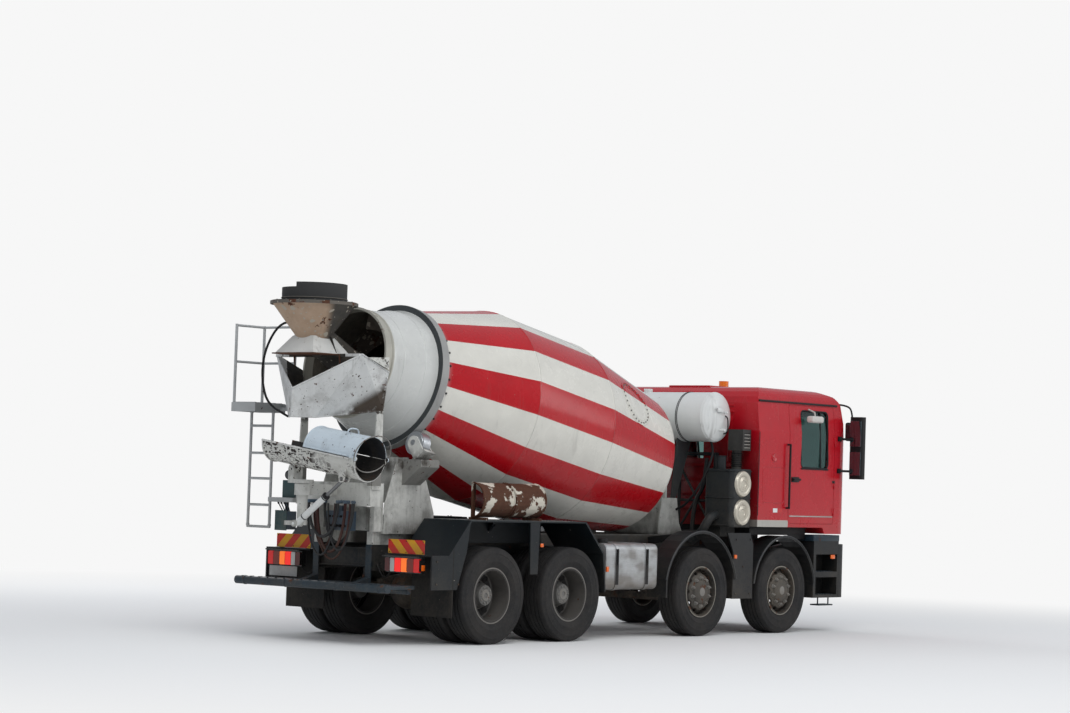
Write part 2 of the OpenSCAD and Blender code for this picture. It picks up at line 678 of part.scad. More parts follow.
module rear_platform() color([0.10, 0.11, 0.12]) {
    // Step bar: a round tube with rounded ends along the rear edge
    cross_bar(axle_4 - 1570, 610, [-1110, 1130], 90);
    difference() {
        block([axle_4 - 1540, axle_4 - 1100], [-1060, 1080], [platform_z - 40, platform_z]);
        for (y = [-1000:125:960]) block([axle_4 - 1500, axle_4 - 1180], [y, y + 60], [platform_z - 60, platform_z + 10]);
    }
    both_sides() {
        upright([rail_y - rail_flange, rail_y], [
            [rail_back - 12, rail_top_z], [rail_back, rail_top_z], [rail_back, rail_low_z],
            [axle_4 - 1100, 560], [axle_4 - 1400, 560], [axle_4 - 1480, 600], [rail_back - 12, 700]]);
        bar([axle_4 - 1150, rail_y - 40, 580], [axle_4 - 1150, 1030, 580], 70);
    }
}

// Tail lamps: a housing each side whose cells stand proud, with a lip on top
lamp_x = axle_4 - 1080;
lamp_y = [630, 1130];
// Cells from the inner end outwards: width
lamp_cells = [70, 60, 90, 80, 90, 80];

function cell_start(i) = i == 0 ? 0 : cell_start(i - 1) + lamp_cells[i - 1] + 4;

module tail_lamps() color([0.60, 0.05, 0.05]) both_sides() {
    block([lamp_x, lamp_x + 60], lamp_y, [770, 935]);
    block([lamp_x - 60, lamp_x + 60], [lamp_y[0] - 10, lamp_y[1] + 10], [935, 950]);
    for (i = [0:len(lamp_cells) - 1])
        translate([lamp_x, 0, 0]) along([-30, 1], rounded(
            [lamp_y[0] + 4 + cell_start(i), lamp_y[0] + 4 + cell_start(i) + lamp_cells[i]], [780, 925], 12, 3));
}

// Marker boards over the lamps, and the blank number plate
module marker_boards() color([0.85, 0.45, 0.10]) {
    both_sides() {
        block([axle_4 - 1005, axle_4 - 1000], [580, 1100], [970, 1120]);
        for (y = [620, 1020]) block([axle_4 - 1000, axle_4 - 960], [y, y + 40], [shelf_z[1], 1100]);
    }
    block([lamp_x - 6, lamp_x - 2], [690, 1120], [655, 765]);
    for (y = [760, 1040]) block([lamp_x - 2, lamp_x + 30], [y - 15, y + 15], [655, 769.7]);
}

// Ladder with its platform and rails on the left
ladder_x = axle_4 - 1320;
deck_x = [axle_4 - 1620, axle_4 - 1150];
deck_y = [900, 1270];
rung_z = [1190, 1430, 1720, 2000, 2300];

module ladder() color([0.45, 0.44, 0.43]) {
    // Deck with an open front
    difference() {
        block(deck_x, deck_y, [2450, 2550]);
        block([deck_x[0] + 30, deck_x[1] - 30], [deck_y[0] + 30, deck_y[1] - 30], [2440, 2535]);
    }
    for (y = [deck_y[0] + 15, deck_y[1] - 20]) bar([ladder_x, y, 1180], [ladder_x, y, 2460], 32);
    for (z = rung_z) cross_bar(ladder_x, z, [deck_y[0] + 15, deck_y[1] - 20], 26);
    // Arms to the cross beam
    block([ladder_x - 20, beam_x[1] - 30], [beam_half, deck_y[0] + 30], [1470, 1520]);
    block([axle_4 - 1235, axle_4 - 1195], [leg_y[1], deck_y[0] + 20], [2470, 2510]);
    // Handrails
    corner = [deck_x[1] - 20, 760];
    for (p = [[deck_x[0] + 20, deck_y[1] - 20], [deck_x[1] - 20, deck_y[1] - 20], corner])
        bar([p[0], p[1], 2536], [p[0], p[1], 3416], 32);
    for (z = [3000, 3400]) {
        bar([deck_x[0] + 20, deck_y[1] - 20, z], [corner[0], deck_y[1] - 20, z], 28);
        bar([corner[0], deck_y[1] - 20, z], [corner[0], corner[1], z], 28);
    }
    block([corner[0] - 20, corner[0] + 20], [corner[1] - 20, deck_y[0] + 10], [2510, 2540]);
}

// Feed hopper: a round funnel whose spout leads into the drum's mouth
funnel_x = axle_4 - 1680;
spout_r = 170;
spout_from = [funnel_x + 30, 0, funnel_z - funnel_h + 20];
spout_to = on_axis(mouth_s + 60, -60);

module feed_hopper() color([0.66, 0.62, 0.54]) {
    difference() {
        union() {
            translate([funnel_x, 0, funnel_z - funnel_h]) cylinder(h = funnel_h, r1 = throat_r + plate_t, r2 = funnel_r);
            bar(spout_from, spout_to, 2 * spout_r);
        }
        translate([funnel_x, 0, funnel_z - funnel_h - 1])
            cylinder(h = funnel_h + 2, r1 = throat_r, r2 = funnel_r - plate_t);
        bar(spout_from, spout_to + (spout_to - spout_from) * 0.1, 2 * (spout_r - plate_t));
    }
}

// Rubber collar on the hopper's rim, taller on the right
module hopper_collar() color([0.08, 0.08, 0.08]) {
    translate([funnel_x, 0, funnel_z + seat]) {
        difference() {
            cylinder(h = collar_h, r = collar_r);
            translate([0, 0, -1]) cylinder(h = collar_h + 2, r = collar_r - 10);
            translate([-400, -60, collar_h - 50]) cube([800, 500, 100]);
        }
        difference() {
            cylinder(h = 8, r = funnel_r);
            translate([0, 0, -1]) cylinder(h = 10, r = collar_r - 10);
        }
    }
}

leg_y = [beam_half, beam_half + 14];

hopper_low_z = 2390;

// Discharge hopper: plates that gather what leaves the drum over the chute
module discharge_hopper() color([0.74, 0.74, 0.71]) {
    low = [axle_4 - 1970, 0, hopper_low_z];
    high = [axle_4 - 1970, 0, 2690];
    for (s = [-1, 1]) {
        tip = [axle_4 - 1580, s * 635, 3070];
        foot = [axle_4 - 1800, s * 200, hopper_low_z];
        fore = [axle_4 - 1140, s * 625, 2900];
        heel = [axle_4 - 1140, s * 560, hopper_low_z + 100];
        if (s < 0) {
            plate(low, foot, tip, high, plate_t);
            plate(foot, heel, fore, tip, plate_t);
        } else {
            plate(high, tip, foot, low, plate_t);
            plate(tip, fore, heel, foot, plate_t);
        }
    }
    // Lip across the top and the plate that carries the feed hopper, both cut round for the spout
    difference() {
        union() {
            block([axle_4 - 1610, axle_4 - 1560], [-620, 620], [3045, 3075]);
            along([axle_4 - 1600, axle_4 - 1590], [[-280, 3070], [280, 3070], [190, 3260], [-190, 3260]]);
        }
        bar(spout_from, spout_to, 2 * (spout_r + seat));
        translate([funnel_x, 0, funnel_z - funnel_h - seat])
            cylinder(h = funnel_h, r1 = throat_r + plate_t + seat, r2 = funnel_r + seat);
    }
}

// Legs of the discharge hopper, on the cross beam
module hopper_legs() color([0.74, 0.74, 0.71])
    both_sides() upright(leg_y, [
        [axle_4 - 1280, 1640], [axle_4 - 1140, 1640], [axle_4 - 1140, hopper_low_z + 100 - seat],
        [axle_4 - 1240, hopper_low_z + 84 - seat]]);

// Drum drive: reduction gear with its motor, its shaft in the drum's flange
shaft_r = 70;
drive_s = flange_s + run;

module drum_drive() color([0.40, 0.41, 0.42]) {
    at_drum(drive_s) {
        translate([0, 0, -60]) cylinder(h = 61, r = shaft_r);
        cylinder(h = 60, r = drive_r - 40);
        translate([0, 0, 60]) cylinder(h = 150, r = drive_r);
        translate([0, 0, 210]) cylinder(h = 90, r = 110);
    }
}

// Spare chutes: two half pipes end to end on the right guard
spare_r = 190;
// Middle line of the spare chutes, across the truck
spare_y = -980;

module half_pipe(x, r, t) {
    along(x, concat(arc([0, 0], r, 0, 180, 12), arc([0, 0], r - t, 180, 0, 12)));
}

module spare_chutes() color([0.42, 0.36, 0.32]) {
    low_z = guard_top_z + 30;
    for (x = [axle_4 - 140, axle_4 + 410])
        translate([0, spare_y, low_z + spare_r]) rotate([90, 0, 0]) half_pipe([x, x + 530], spare_r, chute_t);
    for (x = [axle_4 - 100, axle_4 + 820]) {
        block([x, x + 40], [spare_y - spare_r, spare_y + 60], [guard_top_z, low_z + 1]);
        block([x, x + 40], [spare_y - 1, spare_y + 30], [low_z, low_z + 2 * spare_r]);
    }
}

// Control gear at the rear: boxes, valve block and work lamp
module control_gear() color([0.30, 0.36, 0.38]) {
    block([axle_4 - 1270, axle_4 - 1130], [leg_y[1], 780], [1520, 1700]);
    block([axle_4 - 1270, axle_4 - 1120], [700, 870], [1170, 1370]);
    block([axle_4 - 1220, axle_4 - 1180], [760, 780], [1370, 1470]);
    block([axle_4 - 1250, axle_4 - 1120], [-200, 120], [1190, 1400]);
    block([axle_4 - 1200, axle_4 - 1150], [-60, 0], [1400, beam_z[0]]);
    // Elbows that the hoses hang from
    for (h = hoses) for (y = [h[0], h[1]])
        bar([beam_x[0], y, hose_top_z + 18], [hose_x - h[3] - 18, y, hose_top_z + 18], 36);
}

// Hydraulic hoses that hang in loops under the cross beam
hose_d = 32;
hose_top_z = beam_z[0] + 20;

// Points of a hanging loop between two elbows: half an ellipse, straight down at its ends
function hang(x, y, z, drop, n = 14) = [for (i = [0:n])
    [x, (y[0] + y[1]) / 2 - (y[1] - y[0]) / 2 * cos(180 * i / n), z - drop * sin(180 * i / n)]];

hose_x = axle_4 - 1310;
// From y, to y, drop, set back
hoses = [[-330, 90, 420, 0], [-250, 160, 520, 40], [-180, 250, 360, 80]];

module hydraulic_hoses() color([0.08, 0.05, 0.05])
    for (h = hoses)
        tube(hang(hose_x - h[3], [h[0], h[1]], hose_top_z - seat, h[2]), hose_d);

// Drum: one shell of revolution with its ring, mouth lip, dished end and flange
function drum_outline(inset) = [
    [mouth_r - inset, mouth_s - (inset > 0 ? 1 : 0)],
    [belly_rear_r - inset, belly_rear_s], [belly_front_r - inset, belly_front_s],
    [front_rim_r - inset, front_rim_s], [front_rim_r * 0.72, front_rim_s + 190 - inset],
    [front_rim_r * 0.4, dish_s - 20 - inset]];

module drum() color([0.62, 0.05, 0.08]) at_drum(0) {
    difference() {
        union() {
            rotate_extrude($fn = 72) polygon(concat([[0, mouth_s]], drum_outline(0), [[0, dish_s]]));
            translate([0, 0, ring_s - ring_w / 2]) cylinder(h = ring_w, r = ring_r, $fn = 72);
            translate([0, 0, mouth_s]) cylinder(h = 30, r = mouth_r + 14, $fn = 72);
            translate([0, 0, dish_s - 60]) cylinder(h = flange_s - dish_s + 60, r = flange_r);
        }
        rotate_extrude($fn = 72) polygon(concat([[0, mouth_s - 1]], drum_outline(drum_t), [[0, dish_s - 26]]));
        translate([0, 0, flange_s - 70]) cylinder(h = 80, r = shaft_r + fit);
    }
}

// Mixing blades: two helices on the inside of the shell
function wall_r(s) =
    s < belly_rear_s ? mouth_r + (belly_rear_r - mouth_r) * (s - mouth_s) / (belly_rear_s - mouth_s)
    : s < belly_front_s ? belly_rear_r + (belly_front_r - belly_rear_r) * (s - belly_rear_s)
        / (belly_front_s - belly_rear_s)
    : belly_front_r + (front_rim_r - belly_front_r) * (s - belly_front_s) / (front_rim_s - belly_front_s);
blade_from = mouth_s + 120;
blade_to = front_rim_s - 250;
segment_turn = 60;
segment_steps = 4;
weld_gap = 0.1;
segments = 360 / segment_turn * blade_turns;

function blade_depth(s) = blade_h * (s < belly_rear_s ? 0.45 + 0.55 * (s - blade_from) / (belly_rear_s - blade_from) : 1);

// Cross-section of a blade at a turn from its start
function blade_ring(turn, start) = let (
    s = blade_from + (blade_to - blade_from) * turn / (360 * blade_turns),
    a = start + turn,
    out = min(wall_r(s), wall_r(s + blade_t)) - drum_t - seat,
    in = out - blade_depth(s))
    [for (q = [[out, s], [in, s], [in, s + blade_t], [out, s + blade_t]])
        [q[0] * cos(a), q[0] * sin(a), q[1]]];

module blade_segment(from, start) {
    n = segment_steps + 1;
    each_turn = (segment_turn - 2 * weld_gap) / segment_steps;
    polyhedron([for (i = [0:n - 1]) each blade_ring(from + weld_gap + i * each_turn, start)],
        concat([[0, 1, 2, 3]],
            [for (i = [0:n - 2]) for (k = [0:3]) let (
                a = i * 4 + k, b = a + 4, c = (i + 1) * 4 + (k + 1) % 4, d = c - 4)
                each k == 2 ? [[a, b, d], [b, c, d]] : [[a, b, c], [a, c, d]]],
            [[for (k = [3:-1:0]) (n - 1) * 4 + k]]));
}

module drum_flights() color([0.45, 0.40, 0.36]) at_drum(0)
    for (start = [0, 180]) for (i = [1:segments - 1]) blade_segment(i * segment_turn, start);

// Rearmost stretch of each blade, in the mouth
module mouth_flights() color([0.45, 0.40, 0.36]) at_drum(0) for (start = [0, 180]) blade_segment(0, start);

module roller(side) color([0.35, 0.35, 0.35]) at_roller(side) {
    translate([0, 0, -roller_w / 2]) cylinder(h = roller_w, r = roller_r);
    translate([0, 0, -roller_w / 2 - run - cheek_t - 4])
        cylinder(h = roller_w + 2 * (run + cheek_t + 4), r = roller_pin_r);
}

// Chute carrier: a post in the swing bearing, with lugs for the chute and its cylinder
tilt_pin = [swing_x, 120, 1830];
strut_x = swing_x - 150;
foot_pin = [strut_x, -80, 1260];
head_pin = [strut_x, -740, 1745];
chute_pin_r = 16;

// Tilts its children by the chute's slope about its pin, local -Y down the chute
module on_chute() {
    translate(tilt_pin) rotate([chute_slope, 0, 0]) children();
}

module lug(p, r, x) {
    translate([x[0], p[1], p[2]]) rotate([0, 90, 0]) cylinder(h = x[1] - x[0], r = r);
}

module chute_carrier() color([0.70, 0.70, 0.67]) {
    top = swing_z[1] + run;
    difference() {
        union() {
            translate([swing_x, 0, 1240]) cylinder(h = top - 1240, r = swing_r);
            translate([swing_x, 0, top]) cylinder(h = 40, r = 110);
            for (s = [-1, 1]) {
                lug(tilt_pin, 40, [swing_x + s * 55 - 15, swing_x + s * 55 + 15]);
                block([swing_x + s * 55 - 15, swing_x + s * 55 + 15], [-90, tilt_pin[1] + 40],
                    [top, top + 40]);
                block([swing_x + s * 55 - 15, swing_x + s * 55 + 15], [tilt_pin[1] - 40, tilt_pin[1] + 40],
                    [top, tilt_pin[2]]);
                lug(foot_pin, 35, [strut_x + s * 49 - 11, strut_x + s * 49 + 11]);
                block([strut_x + s * 49 - 11, strut_x + s * 49 + 11], [foot_pin[1], -30], [1240, 1285]);
            }
            block([strut_x - 60, swing_x + 50], [-35, 55], [1240, 1285]);
        }
        lug(tilt_pin, chute_pin_r + fit, [swing_x - 100, swing_x + 100]);
        lug(foot_pin, chute_pin_r + fit, [strut_x - 100, strut_x + 100]);
    }
}

// Local height of the chute's axis over the tilt pin, and its lower end
chute_mid = 275;
chute_end = 330 - chute_len;
fold_axis = [chute_end - run / 2, chute_mid + run / 2];
fold_pin_r = 9;
head_local = [
    (head_pin[1] - tilt_pin[1]) * cos(chute_slope) + (head_pin[2] - tilt_pin[2]) * sin(chute_slope),
    (head_pin[2] - tilt_pin[2]) * cos(chute_slope) - (head_pin[1] - tilt_pin[1]) * sin(chute_slope)];

module trough(y, r, t, up, from = 180, to = 360) {
    translate([0, y[1], up]) rotate([90, 0, 0])
        linear_extrude(y[1] - y[0]) polygon(concat(arc([0, 0], r, from, to, 16), arc([0, 0], r - t, to, from, 16)));
}

module main_chute() color([0.80, 0.80, 0.77]) on_chute() {
    trough([chute_end, chute_end + chute_len], chute_r, chute_t, chute_mid);
    // Foot with the tilt pin, and the lugs that the cylinder's rod pushes on
    difference() {
        union() {
            translate([-33, -45, 0]) cube([66, 90, chute_mid - chute_r + 6]);
            rotate([0, 90, 0]) translate([0, 0, -33]) cylinder(h = 66, r = 38);
            for (s = [-1, 1]) translate([strut_x - swing_x + s * 40 - 8, 0, 0]) rotate([90, 0, 90])
                linear_extrude(16) polygon(concat(arc(head_local, 38, 180, 360, 8),
                    [[head_local[0] + 60, chute_mid - 110], [head_local[0] - 60, chute_mid - 110]]));
        }
        translate([0, 400, chute_mid]) rotate([90, 0, 0]) cylinder(h = 1400, r = chute_r - chute_t / 2);
        translate([strut_x - swing_x - 60, head_local[0], head_local[1]]) rotate([0, 90, 0])
            cylinder(h = 120, r = 24);
    }
    translate([-80, 0, 0]) rotate([0, 90, 0]) cylinder(h = 160, r = chute_pin_r);
    // Ears and pins of the folding chute's hinge
    for (s = [0, 1]) mirror([s, 0, 0]) {
        translate([chute_r + 0.5, fold_axis[0], fold_axis[1]]) rotate([0, 90, 0]) cylinder(h = 9.5, r = 22);
        translate([chute_r - 3, fold_axis[0], chute_mid - 60]) cube([13, 60, 60]);
        translate([chute_r + 1, fold_axis[0], fold_axis[1]]) rotate([0, 90, 0]) cylinder(h = 26, r = fold_pin_r);
    }
}

module fold_chute() color([0.78, 0.82, 0.84]) on_chute() {
    trough([chute_end, chute_end + fold_len], chute_r, chute_t, chute_mid + run, 0, 180);
    for (s = [0, 1]) mirror([s, 0, 0]) difference() {
        union() {
            translate([chute_r + 11, fold_axis[0], fold_axis[1]]) rotate([0, 90, 0]) cylinder(h = 11, r = 22);
            translate([chute_r + 11, fold_axis[0], fold_axis[1]]) cube([11, 80, 22]);
            translate([chute_r - 4, fold_axis[0] + 40, fold_axis[1] + run]) cube([26, 40, 40]);
        }
        translate([chute_r, fold_axis[0], fold_axis[1]]) rotate([0, 90, 0]) cylinder(h = 60, r = fold_pin_r + fit);
    }
}

// Chute cylinder: barrel on the carrier, rod to the chute
function between(t) = foot_pin + (head_pin - foot_pin) * t;

module chute_barrel() color([0.85, 0.85, 0.83]) {
    difference() {
        union() {
            bar(between(0.02), between(0.63), 70);
            lug(foot_pin, 30, [strut_x - 35, strut_x + 35]);
            lug(foot_pin, chute_pin_r, [strut_x - 65, strut_x + 65]);
        }
        bar(between(0.07), between(0.70), 40 + 2 * fit);
    }
}

module chute_rod() color([0.60, 0.60, 0.60]) {
    bar(between(0.40), between(0.97), 40);
    lug(head_pin, 28, [strut_x - 26, strut_x + 26]);
    lug(head_pin, 14, [strut_x - 50, strut_x + 50]);
}

// Cab: a shell cut from a side outline and a rounded plan, with its openings
cab_back = nose - cab_len;
gutter_z = cab_top_z - 170;
sill_z = 1320;
door_x = [axle_1 + 50, axle_1 + 1070];
door_z = [sill_z + 50, cab_top_z - 200];
window_x = [axle_1 + 310, axle_1 + 930];
window_z = [cab_top_z - 980, cab_top_z - 260];
screen_low = 1960;
screen_high = cab_top_z - 210;

hinge_x = nose - 366;
hinge_y = cab_y + 8;
hinge_z = [1500, 1850, 2400];
hinge_h = 70;
grille_half = 760;
grille_deep = 32;
grille_z = [1300, 1725];

// Side outline of the cab, drawn in by a wall's thickness
function cab_outline(t) = concat(
    [[cab_back + t, sill_z + t], [cab_back + t, gutter_z - t]],
    arc([cab_back + 200, cab_top_z - 200], 200 - t, 180, 90, 4),
    [[nose - 640, cab_top_z - t], [nose - 330, cab_top_z - 60 - t], [nose - 200 - t, screen_high + 60 - t],
     [nose - 20 - t, screen_low], [nose - t, 1800], [nose - t, cab_low_z + t], [nose - 560, cab_low_z + t],
     [nose - 600, sill_z + t]]);

module cab_solid(t) {
    intersection() {
        upright([-cab_y + t, cab_y - t], cab_outline(t));
        translate([0, 0, 1000]) linear_extrude(cab_top_z - 850) polygon(concat(
            [[cab_back + t, -cab_y + t]], arc([nose - 230, -cab_y + 230], 230 - t, 270, 355, 6),
            arc([nose - 230, cab_y - 230], 230 - t, 5, 90, 6), [[cab_back + t, cab_y - t]]));
        along([cab_back - 10, nose + 10], concat(
            [[-cab_y + t, 1000], [cab_y - t, 1000], [cab_y - t, 2500]], arc([cab_y - 190, cab_top_z - 150], 150 - t, 15, 90, 5),
            arc([-cab_y + 190, cab_top_z - 150], 150 - t, 90, 165, 5), [[-cab_y + t, 2500]]));
    }
}

module door_hole(gap) {
    y = cab_y - 90;
    upright([y, cab_y + 60], rounded([door_x[0] - gap, door_x[1] + gap], [door_z[0] - gap, door_z[1] + gap], 40, 4));
}

module window_hole(gap) {
    upright([cab_y - 120, cab_y + 60], rounded(
        [window_x[0] - gap, window_x[1] + gap], [window_z[0] - gap, window_z[1] + gap], 60, 4));
}

module screen_hole(gap) {
    along([nose - 700, nose + 60], rounded([-cab_y + 130 - gap, cab_y - 130 + gap],
        [screen_low + 20 - gap, screen_high - 10 + gap], 80, 5));
}

// A hinge's barrel on the door's axis with its leaf, which reaches back to the door or on to the cab
module hinge_leaf(z, h, reach) {
    translate([hinge_x, hinge_y, z]) cylinder(h = h, r = 7);
    block([min(hinge_x, hinge_x + reach), max(hinge_x, hinge_x + reach)], [cab_y - 1, cab_y + 5], [z, z + h]);
}

module cab_body() color([0.60, 0.05, 0.08]) {
    both_sides() for (z = hinge_z) hinge_leaf(z - hinge_h / 2 - seat, hinge_h / 2, 40);
    difference() {
        cab_solid(0);
        cab_solid(cab_t);
        both_sides() door_hole(door_gap);
        screen_hole(0);
        block([nose - grille_deep, nose + 10], [-grille_half, grille_half], grille_z);
        upright([-400, 400], rounded([cab_back - 10, cab_back + cab_t + 10], [2150, 2650], 4, 3));
    }
    difference() {
        both_sides() upright([rail_y + 5, rail_y + 41], concat(
            [[tilt_x - 60, cab_low_z + 20]], arc([tilt_x, tilt_z], 45, 190, 350, 8), [[tilt_x + 60, cab_low_z + 20]]));
        cross_bar(tilt_x, tilt_z, [-600, 600], pin_d + 2 * fit);
    }
}

// Grille: slats in the recess of the cab's front
module grille() color([0.10, 0.10, 0.10]) {
    half = grille_half - seat;
    back = nose - grille_deep;
    block([back + seat, back + 8], [-half, half], [grille_z[0] + seat, grille_z[1] - seat]);
    for (z = [grille_z[0] + 25:75:grille_z[1] - 50]) upright([-half + 25, half - 25], [
        [back + 8, z], [nose - 4, z + 12], [nose - 4, z + 42], [back + 8, z + 36]]);
    for (y = [-half, -12, half - 24]) block([back + 8, nose - 8], [y, y + 24], [grille_z[0] + 5, grille_z[1] - 5]);
}

module cab_slice(t0, t1) {
    difference() {
        cab_solid(t0);
        cab_solid(t1);
    }
}

module windscreen() color([0.55, 0.65, 0.70])
    intersection() {
        cab_slice(20, 20 + glass_t);
        screen_hole(-seat);
    }

module door(side) color([0.60, 0.05, 0.08]) mirror([0, side < 0 ? 1 : 0, 0]) {
    difference() {
        intersection() {
            cab_solid(0);
            door_hole(0);
        }
        cab_solid(cab_t);
        window_hole(0);
    }
    for (z = hinge_z) hinge_leaf(z, hinge_h, -40);
    upright([cab_y - 1, cab_y + 26], rounded([door_x[0] + 60, door_x[0] + 210], [1900, 1935], 10, 3));
}

module door_glass(side) color([0.45, 0.60, 0.60]) mirror([0, side < 0 ? 1 : 0, 0])
    intersection() {
        cab_slice(20, 20 + glass_t);
        window_hole(-seat);
    }

// Cab interior: seats, dashboard, engine cover and steering wheel
module cab_interior() color([0.15, 0.15, 0.16]) {
    floor_z = sill_z + cab_t;
    block([nose - 560, nose - 90], [-1100, 1100], [floor_z + 350, floor_z + 560]);
    block([cab_back + 300, nose - 560], [-300, 300], [floor_z, floor_z + 360]);
    for (y = [-700, 700]) {
        block([cab_back + 420, cab_back + 920], [y - 250, y + 250], [floor_z, floor_z + 420]);
        upright([y - 250, y + 250], [
            [cab_back + 300, floor_z + 420], [cab_back + 440, floor_z + 420], [cab_back + 340, floor_z + 1080],
            [cab_back + 220, floor_z + 1080]]);
    }
    translate([nose - 640, 700, floor_z + 640]) rotate([0, -35, 0]) rotate_extrude()
        translate([215, 0]) circle(r = 16, $fn = 16);
    bar([nose - 640, 700, floor_z + 640], [nose - 540, 700, floor_z + 500], 60);
    translate([nose - 640, 700, floor_z + 640]) rotate([0, -35, 0]) translate([-215, -20, -10]) cube([430, 40, 20]);
}

// Mirrors: a tall head each side on two arms
mirror_y = 1500;

module cab_mirrors() color([0.10, 0.10, 0.10]) both_sides() {
    x = nose - 70;
    translate([0, 0, 1950]) linear_extrude(800) polygon(rounded([x - 60, x + 50], [1300, mirror_y], 40, 4));
    for (z = [2050, 2460]) {
        block([nose - 300, nose - 240], [cab_y, cab_y + 25], [z - 30, z + 30]);
        bar([nose - 270, cab_y + 16, z], [x - 10, 1400, z], 30);
    }
}

// Sun visor over the windscreen
function screen_x(z) = nose - 20 - 180 * (z - screen_low) / (screen_high + 60 - screen_low);

module sun_visor() color([0.12, 0.12, 0.12])
    upright([-1000, 1000], [
        [screen_x(screen_high + 30) + seat, screen_high + 30], [nose - 90, screen_high - 20],
        [nose - 60, screen_high - 90], [nose - 70, screen_high - 95], [nose - 110, screen_high - 30],
        [screen_x(screen_high + 14) + seat, screen_high + 14]]);

// Beacon on the roof
module beacon() color([0.90, 0.45, 0.05])
    translate([axle_1 + 330, 0, cab_top_z]) {
        cylinder(h = 30, r = 75);
        cylinder(h = 110, r = 62);
    }

chassis_frame();
mixer_frame();
engine_block();
front_axles();
rear_axles();
bumper();
front_guards();
middle_guards();
rear_guards();
fuel_tank();
battery_box();
water_tank();
silencer();
air_intake();
rear_platform();
tail_lamps();
marker_boards();
ladder();
feed_hopper();
hopper_collar();
discharge_hopper();
hopper_legs();
drum_drive();
spare_chutes();
control_gear();
hydraulic_hoses();
drum();
drum_flights();
mouth_flights();
roller(1);  // roller_l
roller(-1);  // roller_r
chute_carrier();
main_chute();
fold_chute();
chute_barrel();
chute_rod();
cab_body();
cab_interior();
grille();
headlamps();
windscreen();
cab_mirrors();
sun_visor();
beacon();
door(1);  // door_l
door(-1);  // door_r
door_glass(1);  // door_glass_l
door_glass(-1);  // door_glass_r
color([0.2, 0.2, 0.2]) knuckle(axle_1, 1);  // knuckle_1l
color([0.2, 0.2, 0.2]) knuckle(axle_1, -1);  // knuckle_1r
color([0.2, 0.2, 0.2]) knuckle(axle_2, 1);  // knuckle_2l
color([0.2, 0.2, 0.2]) knuckle(axle_2, -1);  // knuckle_2r
front_wheel(axle_1, 1);  // wheel_1l
front_wheel(axle_1, -1);  // wheel_1r
front_wheel(axle_2, 1);  // wheel_2l
front_wheel(axle_2, -1);  // wheel_2r
rear_wheel(axle_3, 1);  // wheel_3l
rear_wheel(axle_3, -1);  // wheel_3r
rear_wheel(axle_4, 1);  // wheel_4l
rear_wheel(axle_4, -1);  // wheel_4r
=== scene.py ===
import json
from functools import reduce
from math import atan, cos, hypot, pi, radians, sin

import bpy
from mathutils import Matrix, Vector

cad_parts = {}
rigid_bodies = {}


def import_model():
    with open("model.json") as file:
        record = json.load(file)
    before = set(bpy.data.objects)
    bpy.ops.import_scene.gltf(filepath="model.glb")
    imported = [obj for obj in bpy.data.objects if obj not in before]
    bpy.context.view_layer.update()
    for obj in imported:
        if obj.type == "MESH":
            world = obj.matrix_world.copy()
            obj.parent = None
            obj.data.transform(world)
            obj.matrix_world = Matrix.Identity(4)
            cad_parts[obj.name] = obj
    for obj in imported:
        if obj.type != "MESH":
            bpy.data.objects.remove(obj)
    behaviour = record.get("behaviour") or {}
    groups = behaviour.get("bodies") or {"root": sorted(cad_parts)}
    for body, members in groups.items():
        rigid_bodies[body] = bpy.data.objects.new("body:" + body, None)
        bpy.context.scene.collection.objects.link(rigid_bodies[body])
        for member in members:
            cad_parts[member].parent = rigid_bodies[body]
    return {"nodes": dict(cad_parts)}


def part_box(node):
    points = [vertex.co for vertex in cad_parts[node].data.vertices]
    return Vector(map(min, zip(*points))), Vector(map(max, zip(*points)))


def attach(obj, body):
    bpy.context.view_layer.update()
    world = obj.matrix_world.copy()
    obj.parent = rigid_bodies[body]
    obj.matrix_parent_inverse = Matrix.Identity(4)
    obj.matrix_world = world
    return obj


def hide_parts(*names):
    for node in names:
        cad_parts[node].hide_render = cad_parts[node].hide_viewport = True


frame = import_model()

bl_info = {
    "name": "Concrete mixer truck",
    "version": (1, 0, 0),
    "blender": (4, 5, 0),
    "location": "3D View > Sidebar > Mixer truck",
    "description": "Dresses the solids of a four-axle concrete mixer truck",
    "category": "Object",
}

# Places that the pieces share, in metres
NOSE = 4.590
AXLE_1, AXLE_2, AXLE_3, AXLE_4 = 3.150, 1.450, -1.100, -2.450
TYRE_R = 0.530
FRONT_TRACK, REAR_TRACK, TWIN_GAP = 1.070, 0.920, 0.340
CAB_Y = 1.240
CAB_BACK = NOSE - 2.070
RIGHT, LEFT = -1, 1
SIDES = (RIGHT, LEFT)

# Drum: its axis, the point above axle 4 that stations are measured from, and its shell
DRUM_TILT = radians(11)
DRUM_FOOT = Vector((AXLE_4, 0, 2.795))
DRUM_ALONG = Vector((cos(DRUM_TILT), 0, -sin(DRUM_TILT)))
DRUM_UP = Vector((sin(DRUM_TILT), 0, cos(DRUM_TILT)))
MOUTH_S, RING_S, BELLY_REAR_S, BELLY_FRONT_S, FRONT_RIM_S = -1.077, -0.453, 0.850, 2.233, 3.764
SHELL = ((MOUTH_S, 0.593), (BELLY_REAR_S, 1.110), (BELLY_FRONT_S, 1.120), (FRONT_RIM_S, 0.885))
RING_R, RING_W = 0.816, 0.110

# Bands of the drum: where the first one starts and how wide each is, in degrees
BAND_FROM, BAND_STEP = 35.5, 20.0

# Feed hopper: its middle, its top and its radius
FUNNEL_X, FUNNEL_TOP_Z, FUNNEL_R = AXLE_4 - 1.680, 3.620, 0.460

